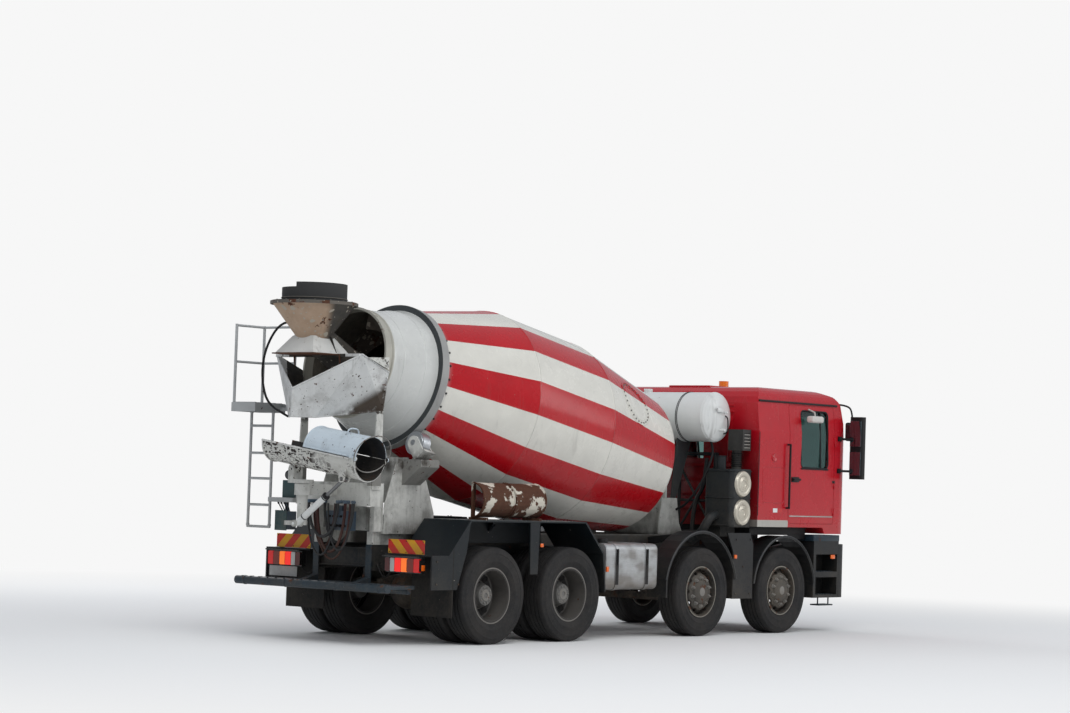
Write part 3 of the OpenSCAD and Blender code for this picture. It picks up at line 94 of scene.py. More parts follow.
# Discharge hopper: the corners of its left half, and the faces between them
BIN_LOW, BIN_HIGH = Vector((AXLE_4 - 1.970, 0, 2.390)), Vector((AXLE_4 - 1.970, 0, 2.690))
BIN_FOOT, BIN_TIP = Vector((AXLE_4 - 1.800, 0.200, 2.390)), Vector((AXLE_4 - 1.580, 0.635, 3.070))
BIN_FORE, BIN_HEEL = Vector((AXLE_4 - 1.140, 0.625, 2.900)), Vector((AXLE_4 - 1.140, 0.560, 2.490))
BIN_FACES = ((BIN_LOW, BIN_FOOT, BIN_HIGH), (BIN_FOOT, BIN_TIP, BIN_HIGH), (BIN_TIP, BIN_FORE, BIN_HEEL),
             (BIN_TIP, BIN_HEEL, BIN_FOOT))

# Chutes: their radius, the middle line above the pin of their tilt, and how far the folded one lies above it
CHUTE_R, CHUTE_MID, FOLD_RISE = 0.232, 0.275, 0.006
CHUTE_TILT = radians(8)
TILT_PIN = Vector((AXLE_4 - 1.750, 0.120, 1.830))
CHUTE_UP = Vector((0, -sin(CHUTE_TILT), cos(CHUTE_TILT)))
CHUTE_INNER = CHUTE_R - 0.0035

# Ends of the main trough and length of the folded one, along the chute from the pin of its tilt
CHUTE_END, CHUTE_TOP, FOLD_LEN = -1.060, 0.330, 0.775
CHUTE_FRAME = Matrix.Translation(TILT_PIN) @ Matrix.Rotation(CHUTE_TILT, 4, "X")

# Spare chutes on the right guard: the middle line of their half pipes and their radius
SPARE_Y, SPARE_Z, SPARE_R = -0.980, 1.565, 0.190

# Headlamps: how far out and how high their middle is, and half their width
HEADLAMP_Y, HEADLAMP_Z, HEADLAMP_HALF = 0.780, 0.730, 0.170

# Tanks: the water tank's middle and radius, and the fuel tank's rear end, outer side and top
TANK_AT, TANK_R = Vector((AXLE_4 + 4.550, -0.025, 2.650)), 0.305
FUEL_X, FUEL_Y, FUEL_TOP = AXLE_3 + 0.660, -1.210, 1.100

# Doors and their windows, from rear to front and from foot to head
DOOR_X, DOOR_Z = (AXLE_1 + 0.050, AXLE_1 + 1.070), (1.370, 2.850)
WINDOW_X, WINDOW_Z = (AXLE_1 + 0.310, AXLE_1 + 0.930), (2.070, 2.790)

# Tread and nuts of the wheels
TREAD_R, GROOVES, TYRE_STEPS = 0.5300, (0.026, 0.076), 96
NUTS, NUT_CIRCLE, FRONT_NUT_FACE, REAR_NUT_FACE = 10, 0.1675, 0.112, 0.014
FRONT_HUB_FACE, REAR_HUB_FACE, HUB_BOLTS, HUB_BOLT_CIRCLE, HAND_HOLES = 0.146, 0.196, 10, 0.086, 8

WHEELS = {
    f"{number}{mark}": (axle, track, side)
    for number, axle, track in ((1, AXLE_1, FRONT_TRACK), (2, AXLE_2, FRONT_TRACK),
                                (3, AXLE_3, REAR_TRACK), (4, AXLE_4, REAR_TRACK))
    for mark, side in (("l", LEFT), ("r", RIGHT))
}


def screen(red, green, blue):
    """A screen colour, each part 0 to 255, as the linear colour that shaders take"""
    return tuple((c / 255 / 12.92) if c < 11 else ((c / 255 + 0.055) / 1.055) ** 2.4
                 for c in (red, green, blue))


def colour_property(name, description, value):
    return bpy.props.FloatVectorProperty(
        name=name, description=description, subtype="COLOR", size=3, min=0, max=1, default=screen(*value))


def length_property(name, description, value, low, high):
    return bpy.props.FloatProperty(
        name=name, description=description, default=value, min=low, max=high, subtype="DISTANCE",
                                   unit="LENGTH")


class MixerPaints(bpy.types.PropertyGroup):
    """Colours of the truck"""
    cab_red: colour_property("Cab red", "Paint of the cab and its doors", (180, 7, 28))
    band_red: colour_property("Band red", "Red bands of the drum", (176, 3, 20))
    band_white: colour_property("Band white", "Off-white bands of the drum", (214, 212, 203))
    frame_white: colour_property("Mixer white", "Paint of the tower, chutes and hoppers", (206, 206, 200))
    chassis_teal: colour_property("Chassis paint", "Dark paint of the rails and rear guards", (9, 19, 25))
    plastic_black: colour_property("Black plastic", "Guards, boxes and bumper", (26, 28, 30))
    cement: colour_property("Cement", "Splashes of dried concrete", (168, 160, 146))
    road_dust: colour_property("Road dust", "Dust and dried mud", (124, 112, 96))
    rust: colour_property("Rust", "Bare, rusted steel", (92, 56, 38))


class MixerSizes(bpy.types.PropertyGroup):
    """Sizes of what is added to the solids"""
    tread_depth: length_property("Tread depth", "Depth of the tyre grooves", 0.014, 0.003, 0.02)
    nut_size: length_property("Wheel nut", "Radius of a wheel nut over its corners", 0.0185, 0.012, 0.024)
    hose_d: length_property("Hose diameter", "Hydraulic hoses under the cross beam", 0.032, 0.02, 0.04)
    seal_w: length_property("Window seal", "Width of the rubber round a window", 0.022, 0.01, 0.04)
    bolt_r: length_property("Bolt head", "Radius of the bolt heads on guards and tower", 0.011, 0.006, 0.02)


def paints():
    return bpy.context.scene.mixer_paints


def sizes():
    return bpy.context.scene.mixer_sizes


# Shader words
class Wire:
    """A value, vector or colour in a shader; a sum or comparison written with it becomes a node"""

    def __init__(self, socket):
        self.socket, self.tree = socket, socket.id_data

    def sum(self, operation, first, second=0.0):
        kind = "Math" if self.socket.type == "VALUE" else "VectorMath"
        return Wire(node(self.tree, kind, {0: first, 1: second}, operation=operation).outputs[0])

    def __add__(self, other):
        return self.sum("ADD", self, other)

    def __sub__(self, other):
        return self.sum("SUBTRACT", self, other)

    def __rsub__(self, other):
        return self.sum("SUBTRACT", other, self)

    def __mul__(self, other):
        return self.sum("MULTIPLY", self, other)

    def __truediv__(self, other):
        return self.sum("DIVIDE", self, other)

    def __mod__(self, other):
        return self.sum("MODULO", self, other)

    def __lt__(self, other):
        return self.sum("LESS_THAN", self, other)

    def __gt__(self, other):
        return self.sum("GREATER_THAN", self, other)

    def __abs__(self):
        return self.sum("ABSOLUTE", self)

    def dot(self, way):
        made = node(self.tree, "VectorMath", {0: self, 1: way}, operation="DOT_PRODUCT")
        return Wire(made.outputs["Value"])

    def span(self, low, high, out_low=0.0, out_high=1.0, smooth=True):
        """Runs from out_low to out_high while this value runs from low to high"""
        made = node(self.tree, "MapRange", interpolation_type="SMOOTHSTEP" if smooth else "LINEAR")
        for number, socket in zip((self, low, high, out_low, out_high), made.inputs):
            feed(number, socket)
        return Wire(made.outputs[0])

    def parts(self):
        return [Wire(part) for part in node(self.tree, "SeparateXYZ", {0: self}).outputs]


def feed(value, socket):
    """Joins a wire or an output to an input, or sets a plain value"""
    if isinstance(value, Wire):
        value = value.socket
    if isinstance(value, bpy.types.NodeSocket):
        socket.id_data.links.new(value, socket)
    elif socket.type == "RGBA":
        socket.default_value = (*tuple(value)[:3], 1)
    else:
        socket.default_value = value


def node(tree, kind, inputs=None, **settings):
    made = tree.nodes.new("ShaderNode" + kind)
    for name, value in settings.items():
        setattr(made, name, value)
    for name, value in (inputs or {}).items():
        feed(value, made.inputs[name])
    return made


def most(*wires):
    return reduce(lambda first, second: first.sum("MAXIMUM", first, second), wires)


def least(*wires):
    return reduce(lambda first, second: first.sum("MINIMUM", first, second), wires)


def distance(first, second):
    """How long the way is that goes this far one way and that far the other"""
    square = first * first + second * second
    return square.sum("SQRT", square)


def mix(share, low, high, blend="MIX"):
    tree = next(value.tree for value in (share, low, high) if isinstance(value, Wire))
    return Wire(node(tree, "Mix", {0: share, 6: low, 7: high}, data_type="RGBA", blend_type=blend).outputs[2])


def dimmed(base, factors):
    return mix(1.0, base, factors, "MULTIPLY")


def noise(where, scale, detail=3.0, rough=0.55):
    inputs = {"Vector": where, "Scale": scale, "Detail": detail, "Roughness": rough}
    return Wire(node(where.tree, "TexNoise", inputs).outputs[0])


def ribs(where, scale):
    """Level ribs, as on a lens"""
    return Wire(node(where.tree, "TexWave", {"Vector": where, "Scale": scale},
                     bands_direction="Z").outputs[1])


def named_wires(sockets):
    return {socket.name: Wire(socket) for socket in sockets if socket.name}


def group(name, inputs, outputs, build):
    """A shader node group with named sockets, built once"""
    made = bpy.data.node_groups.get(name)
    if made:
        return made
    made = bpy.data.node_groups.new(name, "ShaderNodeTree")
    for label in inputs:
        kind = "NodeSocketVector" if label == "Where" else "NodeSocketFloat"
        made.interface.new_socket(label, in_out="INPUT", socket_type=kind)
    for label in outputs:
        made.interface.new_socket(label, in_out="OUTPUT", socket_type="NodeSocketFloat")
    start = made.nodes.new("NodeGroupInput")
    end = made.nodes.new("NodeGroupOutput")
    for label, value in build(**{label.lower(): wire
                                 for label, wire in named_wires(start.outputs).items()}).items():
        feed(value, end.inputs[label])
    return made


def placed(node_group, where, **inputs):
    made = node(where.tree, "Group", node_tree=node_group)
    for label, value in {"Where": where, **inputs}.items():
        feed(value, made.inputs[label])
    return named_wires(made.outputs)


def patches(where, scale, cover, softness):
    """Soft-edged patches, such as rust or worn paint"""
    def build(where, scale, cover, softness):
        low = (1.0 - cover) * 0.44 + 0.26
        return {"Mask": noise(where, scale, 5, 0.62).span(low, low + softness)}
    made = group("Patches", ("Where", "Scale", "Cover", "Softness"), ("Mask",), build)
    return placed(made, where, Scale=scale, Cover=cover, Softness=softness)["Mask"]


def splashes(where, scale, cover):
    """Spots and clots of dried concrete, of mixed sizes"""
    def build(where, scale, cover):
        bent = Wire(node(where.tree, "TexNoise", {"Vector": where, "Scale": 9.0, "Detail": 2.0}).outputs[1])
        where = where + bent * (0.09, 0.09, 0.09)
        spots = []
        for share, finer in ((1.0, 1.0), (0.8, 2.7)):
            cells = named_wires(node(where.tree, "TexVoronoi", {
                "Vector": where, "Scale": scale * finer, "Randomness": 1.0}).outputs)
            reach = (cover - cells["Color"].parts()[0]) * (0.9 * share)
            spots.append(cells["Distance"].span(reach + 0.05, reach) * reach.span(0.0, 0.03))
        total = most(*spots)
        return {"Mask": total, "Height": total * noise(where, 60.0)}
    made = group("Concrete splashes", ("Where", "Scale", "Cover"), ("Mask", "Height"), build)
    return placed(made, where, Scale=scale, Cover=cover)


def road_dust(where, top, fade, amount):
    """Dust that thins out upwards and gathers in patches"""
    def build(where, top, fade, amount):
        low = where.parts()[2].span(top, top - fade)
        both = noise(where, 2.3, 6, 0.7) * 0.75 + noise(where, 34.0, 3, 0.6) * 0.35
        return {"Mask": both.span(0.35, 0.75) * amount * (low * 0.85 + 0.15)}
    made = group("Road dust", ("Where", "Top", "Fade", "Amount"), ("Mask",), build)
    return placed(made, where, Top=top, Fade=fade, Amount=amount)["Mask"]


def streaks(where, scale):
    """Dirt that rain has drawn down a wall"""
    def build(where, scale):
        thin = noise(where * (1.0, 1.0, 0.07), scale, 4, 0.65)
        return {"Mask": thin.span(0.52, 0.74) * noise(where, 1.6, 2).span(0.38, 0.62)}
    made = group("Rain streaks", ("Where", "Scale"), ("Mask",), build)
    return placed(made, where, Scale=scale)["Mask"]


def new_material(name):
    """A material, its shader, and the place that its patterns are measured by"""
    material = bpy.data.materials.new(name)
    material.use_nodes = True
    tree = material.node_tree
    return material, tree.nodes["Principled BSDF"], Wire(node(tree, "TexCoord").outputs["Object"])


def coated(name, colour, rough=0.4, metallic=0.0, coat=0.0, dust=0.25, top=1.6, fade=1.2, dust_colour=None,
           rusty=0.0, rust_scale=3.0, splash=0.0, splash_scale=7.0, streak=0.0, grain=0.15, grain_scale=180.0,
           vary=0.10, special=None):
    """A finish: its own colour under rust, streaks, splashes and dust, with the roughness and bump of each"""
    material, shader, where = new_material(name)
    base, rough_now = special(where, shader) if special else (colour, rough)
    base = dimmed(base, noise(where, 3.1, 4).span(0.25, 0.75, 1.0 - vary, 1.0 + vary, smooth=False))
    height = noise(where, grain_scale, 2) * grain
    if rusty:
        bare = patches(where, rust_scale, rusty, 0.035)
        fine = noise(where, 40.0, 4)
        base = mix(bare, base, mix(fine, screen(62, 36, 26), paints().rust))
        rough_now = most(rough_now, bare) if isinstance(rough_now, Wire) else bare * (0.85 - rough) + rough
        height = height + fine * bare * 0.6
        metallic = (1.0 - bare) * metallic if metallic else 0.0
    masks = []
    if streak:
        masks.append((streaks(where, 9.0) * streak, screen(74, 68, 58)))
    if splash:
        spots = splashes(where, splash_scale, splash)
        masks.append((spots["Mask"], paints().cement))
        height = height + spots["Height"] * 1.6
    if dust:
        tint = screen(*dust_colour) if dust_colour else paints().road_dust
        masks.append((road_dust(where, top, fade, dust), tint))
    for mask, tint in masks:
        base = mix(mask, base, tint)
        rough_now = mask * (0.9 - rough_now) + rough_now
    bump = node(where.tree, "Bump", {"Height": height, "Strength": 0.35, "Distance": 0.002})
    for label, value in {"Base Color": base, "Roughness": rough_now, "Metallic": metallic,
                         "Coat Weight": coat,
                         "Coat Roughness": 0.12, "Specular IOR Level": 0.28,
                         "Normal": bump.outputs[0]}.items():
        feed(value, shader.inputs[label])
    return material


def glass(name):
    """Clear, slightly green glass with a film of dust"""
    material, shader, where = new_material(name)
    film = noise(where, 5.0, 5, 0.7)
    for label, value in {"Base Color": mix(film, screen(84, 120, 117), screen(116, 146, 142)),
                         "Roughness": film.span(0.3, 0.8, 0.02, 0.10),
                         "Transmission Weight": 0.95, "IOR": 1.45}.items():
        feed(value, shader.inputs[label])
    return material


def cone_radius(s, start, end):
    """Radius at a station of the cone between two pairs of station and radius"""
    return (s - start[0]) * ((end[1] - start[1]) / (end[0] - start[0])) + start[1]


def drum_paint(where, shader):
    """Red and off-white bands on the shell, a plain rear cone, a bare running ring and a crusted inside"""
    arm = where - DRUM_FOOT
    along, up, side = arm.dot(DRUM_ALONG), arm.dot(DRUM_UP), arm.parts()[1] * -1.0
    radius = distance(up, side)
    count = (side.sum("ARCTAN2", side, up) - radians(BAND_FROM)) / radians(BAND_STEP)
    red = ((count + 36.0) % 2.0 < 1.0) * (along > RING_S + RING_W / 2 + 0.03) * (along < FRONT_RIM_S + 0.006)
    base = mix(red, paints().band_white, paints().band_red)
    base = mix(along.span(RING_S + 0.15, RING_S - 0.02) * 0.8, base, screen(196, 198, 196))
    seams = (BELLY_REAR_S, BELLY_FRONT_S, FRONT_RIM_S - 0.012)
    lines = most(*(abs(along - seam).span(0.005, 0.0015) for seam in seams))
    base = mix(lines * 0.45, base, screen(96, 84, 78))
    wall = least(*(cone_radius(along, *ends) for ends in zip(SHELL, SHELL[1:])))
    inside = (radius < wall - 0.0045) * (along < FRONT_RIM_S - 0.02)
    ring = (abs(along - RING_S) < RING_W / 2 + 0.004) * (radius > wall + 0.004)
    tread = ring * (radius > RING_R - 0.004)
    base = mix(inside, base, mix(noise(where, 14.0, 5, 0.7), screen(58, 56, 52), screen(150, 143, 130)))
    base = mix(ring, base, screen(52, 56, 58))
    base = mix(tread, base, screen(150, 150, 148))
    return base, most(inside, ring) * 0.35 + 0.2 + noise(where, 6.0) * 0.12


def board_paint(where, shader):
    """Slanting red and yellow stripes on the marker boards, and a bare pale plate under the left lamps"""
    reach, across, height = where.parts()
    part = (abs(across) + height) / 0.115 % 2.0
    stripes = mix(part < 1.0, screen(222, 160, 20), screen(206, 34, 24))
    base = mix(height < 0.80, stripes, screen(186, 188, 186))
    back = (reach > AXLE_4 - 1.0005) * (height > 0.80)
    return mix(back, base, screen(70, 72, 74)), 0.35


# Cells of a tail lamp from the middle of the truck outwards: width, colour, and the light of the lit ones
DARK = (0.0, 0.0, 0.0)
LAMP_CELLS = (
    (0.070, (86, 4, 8), DARK), (0.060, (206, 204, 200), DARK), (0.090, (150, 4, 4), (1.0, 0.012, 0.006)),
    (0.080, (190, 60, 6), (1.0, 0.20, 0.012)), (0.090, (132, 30, 6), DARK),
              (0.080, (160, 6, 8), (0.35, 0.0, 0.0)))
LAMP_INNER_Y, CELL_GAP = 0.634, 0.004


def lens_paint(where, shader):
    """The cells of a tail lamp, each with its colour and a fine prism pattern"""
    reach, across, height = where.parts()
    out = abs(across)
    base, light = screen(24, 24, 25), DARK
    edge = LAMP_INNER_Y
    for width, tint, lit in LAMP_CELLS:
        cell = (out > edge) * (out < edge + width)
        base, light = mix(cell, base, screen(*tint)), mix(cell, light, lit)
        edge += width + CELL_GAP
    housing = most(reach > AXLE_4 - 1.082, height > 0.930)
    base = mix(housing, base, screen(26, 27, 28))
    base = mix(ribs(where, 42.0) * 0.3, base, dimmed(base, (0.55, 0.55, 0.55)))
    feed(mix(housing, light, DARK), shader.inputs["Emission Color"])
    shader.inputs["Emission Strength"].default_value = 0.75
    return base, 0.12


def tank_metal(where, shader):
    """Brushed aluminium with the dull painted shadow of dents and a painted reflection of the brown road on
    its lower part
    """
    brushed = noise(where * (3.0, 3.0, 120.0), 4.0, 3)
    dents = noise(where * (1.0, 1.0, 1.6), 3.4, 2)
    base = mix(brushed, screen(148, 150, 152), screen(206, 208, 208))
    # painted shadow of dents
    base = mix(dents.span(0.40, 0.70), base, dimmed(base, (0.58, 0.55, 0.52)))
    # painted reflection of the brown road, towards the bottom
    low = where.parts()[2].span(0.80, 0.58, 0.0, 0.6)
    return mix(low, base, screen(112, 104, 96)), brushed.span(0.2, 0.8, 0.24, 0.44)


def tower_paint(where, shader):
    """White paint with soot in soft smears, specks, and dark dirt low down and round the rollers; darker in a
    band at the rollers' height, with painted shade on the rollers' bracket plates
    """
    reach, across, height = where.parts()
    both = noise(where, 2.6, 5, 0.68) * 0.6 + noise(where * (1.0, 1.0, 0.35), 7.0, 4, 0.65) * 0.4
    smear = both.span(0.44, 0.66) * 0.55
    # darker in a band at the rollers' height
    darkening = abs(height - 1.95).span(0.22, 0.04) * both.span(0.36, 0.60) * reach.span(AXLE_4 - 1.30,
                                                                                    AXLE_4 - 1.10)
    tar = patches(where, 9.0, 0.40, 0.05) * reach.span(AXLE_4 - 1.50, AXLE_4 - 1.24) * height.span(2.30, 2.42)
    specks = splashes(where, 28.0, 0.22)["Mask"]
    # painted shade on the bracket plates beside the rollers
    bracket_shade = (abs(across) > 0.503) * (height < 1.985) * (height > 1.68)
    foot = height.span(1.42, 1.20) * both.span(0.30, 0.62) * reach.span(AXLE_4 - 1.02, AXLE_4 - 0.96)
    dark = most(smear, darkening, tar, specks, bracket_shade * 0.7, foot * 0.8)
    low = height.span(1.24, 1.16) * reach.span(AXLE_4 - 0.70, AXLE_4 - 0.50)
    base = mix(low, paints().frame_white, screen(30, 33, 35))
    tone = mix(noise(where, 22.0, 3), screen(30, 29, 29), screen(86, 80, 72))
    return mix(dark, base, tone), dark * 0.3 + 0.42


def bin_paint(where, shader):
    """Pale, speckled paint outside, dark crust and painted shade inside, and black dirt at the lower corners
    by the drum
    """
    reach, across, height = where.parts()
    folded = Wire(node(where.tree, "CombineXYZ", {0: reach, 1: abs(across), 2: height}).outputs[0])
    depths = []
    for a, b, c in BIN_FACES:
        way = (b - a).cross(c - a).normalized()
        way = way if way.y > 0 else -way
        depths.append(folded.dot(way) - way.dot(a))
    inside = most(*depths) < -0.003
    cloud = noise(where, 3.4, 5, 0.7)
    joint = (reach - height * 1.2).span(AXLE_4 - 4.62, AXLE_4 - 4.42) * cloud.span(0.30, 0.50)
    dark = most(joint, splashes(where, 30.0, 0.30)["Mask"], cloud.span(0.48, 0.72) * 0.35)
    base = mix(dark, screen(204, 205, 203), mix(cloud, screen(28, 22, 20), screen(84, 72, 60)))
    # the inside is dark crust with painted shade
    crust_and_shade = mix(noise(where, 14.0, 4), screen(20, 20, 20), screen(76, 72, 66))
    return mix(inside, base, crust_and_shade), inside * 0.3 + 0.45


def inside_trough(where, rise=0.0):
    """Whether a place is on the inner wall of a chute whose middle line is this far above the main one's"""
    arm = where - (TILT_PIN + CHUTE_UP * (CHUTE_MID + rise))
    return distance(arm.dot(CHUTE_UP), arm.parts()[0]) < CHUTE_INNER


def fold_paint(where, shader):
    """Light paint outside, dark crust and painted shade on the inner wall"""
    # the inner wall is dark crust with painted shade
    crust_and_shade = mix(noise(where, 12.0, 4), screen(16, 18, 22), screen(52, 54, 58))
    inside = inside_trough(where, FOLD_RISE)
    base = mix(splashes(where, 24.0, 0.26)["Mask"], screen(196, 208, 216), screen(44, 44, 46))
    return mix(inside, base, crust_and_shade), inside * 0.35 + 0.35


def chute_paint(where, shader):
    """White paint, chipped to black spots where the concrete strikes it, with dark crust and painted shade on
    the inner wall
    """
    chips = splashes(where * (1.0, 0.7, 1.0), 25.0, 0.80)["Mask"]
    worn = noise(where, 2.1, 3) + where.parts()[1].span(-0.7, 0.3, -0.06, 0.14)
    base = mix(chips * worn.span(0.34, 0.50), paints().frame_white, screen(34, 26, 26))
    # the inner wall is dark crust with painted shade
    crust_and_shade = mix(noise(where, 12.0, 4), screen(16, 17, 20), screen(56, 54, 52))
    return mix(inside_trough(where), base, crust_and_shade), 0.5


def hopper_paint(where, shader):
    """Feed hopper: tan cement dust to the rear, painted shade towards the front and the right side, and darker
    at the spout
    """
    reach, across, height = where.parts()
    # painted shade: darker towards the front and the right side of the hopper
    ahead = (reach - across * 0.7).span(AXLE_4 - 1.62, AXLE_4 - 1.48)
    worn = noise(where, 7.0, 5, 0.7)
    tan = mix(worn, screen(150, 124, 100), screen(192, 168, 146))
    dark = mix(worn, screen(40, 40, 40), screen(92, 88, 82))
    # tan to the rear; painted shade at the front and right side, and darker at the spout
    return mix(most(ahead, height < 3.20), tan, dark), 0.75


def tyre_rubber(where, shader):
    """Black rubber, streaked by wear"""
    streaky = noise(where * (1.0, 3.0, 1.0), 9.0, 5, 0.7)
    return mix(streaky, screen(18, 19, 21), screen(40, 40, 41)), streaky.span(0.3, 0.7, 0.62, 0.85)


def axle_radius(where, *axles):
    """How far a place is from the nearest of the axles"""
    reach, _, height = where.parts()
    return least(*(distance(reach - axle, height - TYRE_R) for axle in axles))


def front_rim_metal(where, shader):
    """Silver paint under dust, with painted shade where the disc meets the rim's well and a painted highlight
    at the lip
    """
    worn = noise(where, 16.0, 5, 0.7)
    out = axle_radius(where, AXLE_1, AXLE_2)
    silver = mix(worn, screen(34, 33, 32), screen(104, 100, 94))
    # painted shade where the disc meets the rim's well
    base = mix(out.span(0.214, 0.224) * out.span(0.292, 0.284) * 0.85, silver, screen(28, 28, 28))
    # painted highlight on the rim's lip
    base = mix(out.span(0.293, 0.298, 0.0, 0.7), base, screen(164, 160, 150))
    return base, worn.span(0.3, 0.7, 0.5, 0.8)


def rear_rim_metal(where, shader):
    """Dark paint, with painted highlights on the rim's lip and on the disc's edge, and a grey hub"""
    worn = noise(where, 14.0, 4)
    out = axle_radius(where, AXLE_3, AXLE_4)
    # painted highlights: the disc's edge and the rim's lip are lightened
    ring = out.span(0.256, 0.264) * out.span(0.282, 0.274, 0.0, 0.4)
    base = mix(worn, screen(18, 18, 20), screen(44, 42, 41))
    base = mix(most(ring, out.span(0.288, 0.294, 0.0, 0.8)), base, screen(128, 124, 118))
    hub = mix(worn, screen(74, 73, 71), screen(140, 138, 134))
    return mix(out.span(0.140, 0.134, 0.0, 0.9), base, hub), 0.55


def headlamp_paint(where, shader):
    """Two round reflectors on a dark plate, each with a bright bulb in its middle"""
    _, across, height = where.parts()
    from_middle = abs(abs(across) - HEADLAMP_Y)
    out = distance(from_middle - HEADLAMP_HALF / 2, height - HEADLAMP_Z)
    base = mix(out.span(0.072, 0.068), screen(58, 62, 66), screen(206, 210, 214))
    base = mix(out.span(0.026, 0.022), base, screen(70, 74, 78))
    return mix(out.span(0.016, 0.012), base, screen(244, 244, 236)), 0.1


def cab_paint(where, shader):
    """Cab red, with a pale trim at its foot, painted shade darkening the back wall towards its foot, black
    door handles and black lugs below
    """
    reach, across, height = where.parts()
    out = abs(across)
    trim = (out > CAB_Y - 0.30) * (height < 1.405) * (reach < AXLE_1 + 0.048)
    base = mix(trim, paints().cab_red, screen(176, 174, 166))
    # painted shade: the back wall darkens towards its foot
    darkening = (reach < CAB_BACK + 0.012) * height.span(2.80, 1.95, 0.0, 0.62)
    base = mix(darkening, base, screen(34, 9, 12))
    handle = (abs(height - 1.9175) < 0.03) * (out > CAB_Y + 0.0015)
    base = mix(most(handle, height < 1.236), base, screen(24, 25, 26))
    return base, noise(where, 5.0) * 0.14 + 0.18


def beacon_paint(where, shader):
    """Ribbed amber on a black foot"""
    amber = mix(ribs(where, 26.0), screen(236, 104, 6), screen(255, 150, 20))
    return mix(where.parts()[2] < 3.082, amber, screen(30, 30, 32)), 0.15


def flap_paint(where, shader):
    """Dark paint, with the mud flaps in black rubber"""
    reach, _, height = where.parts()
    flap = (abs(reach - (AXLE_4 - 0.684)) < 0.008) * (height < 1.030)
    return mix(flap, paints().chassis_teal, screen(17, 18, 19)), flap * 0.25 + 0.40


def water_tank_paint(where, shader):
    """White paint on the tank, dark paint on its legs"""
    reach, _, height = where.parts()
    leg = distance(reach - TANK_AT.x, height - TANK_AT.z) > TANK_R + 0.003
    return mix(leg, screen(216, 218, 216), screen(52, 55, 57)), leg * 0.3 + 0.25


def louvre_paint(where, shader):
    """Dull black, greyed in clouds"""
    return mix(noise(where, 12.0, 4), screen(30, 32, 34), screen(64, 64, 62)), 0.5


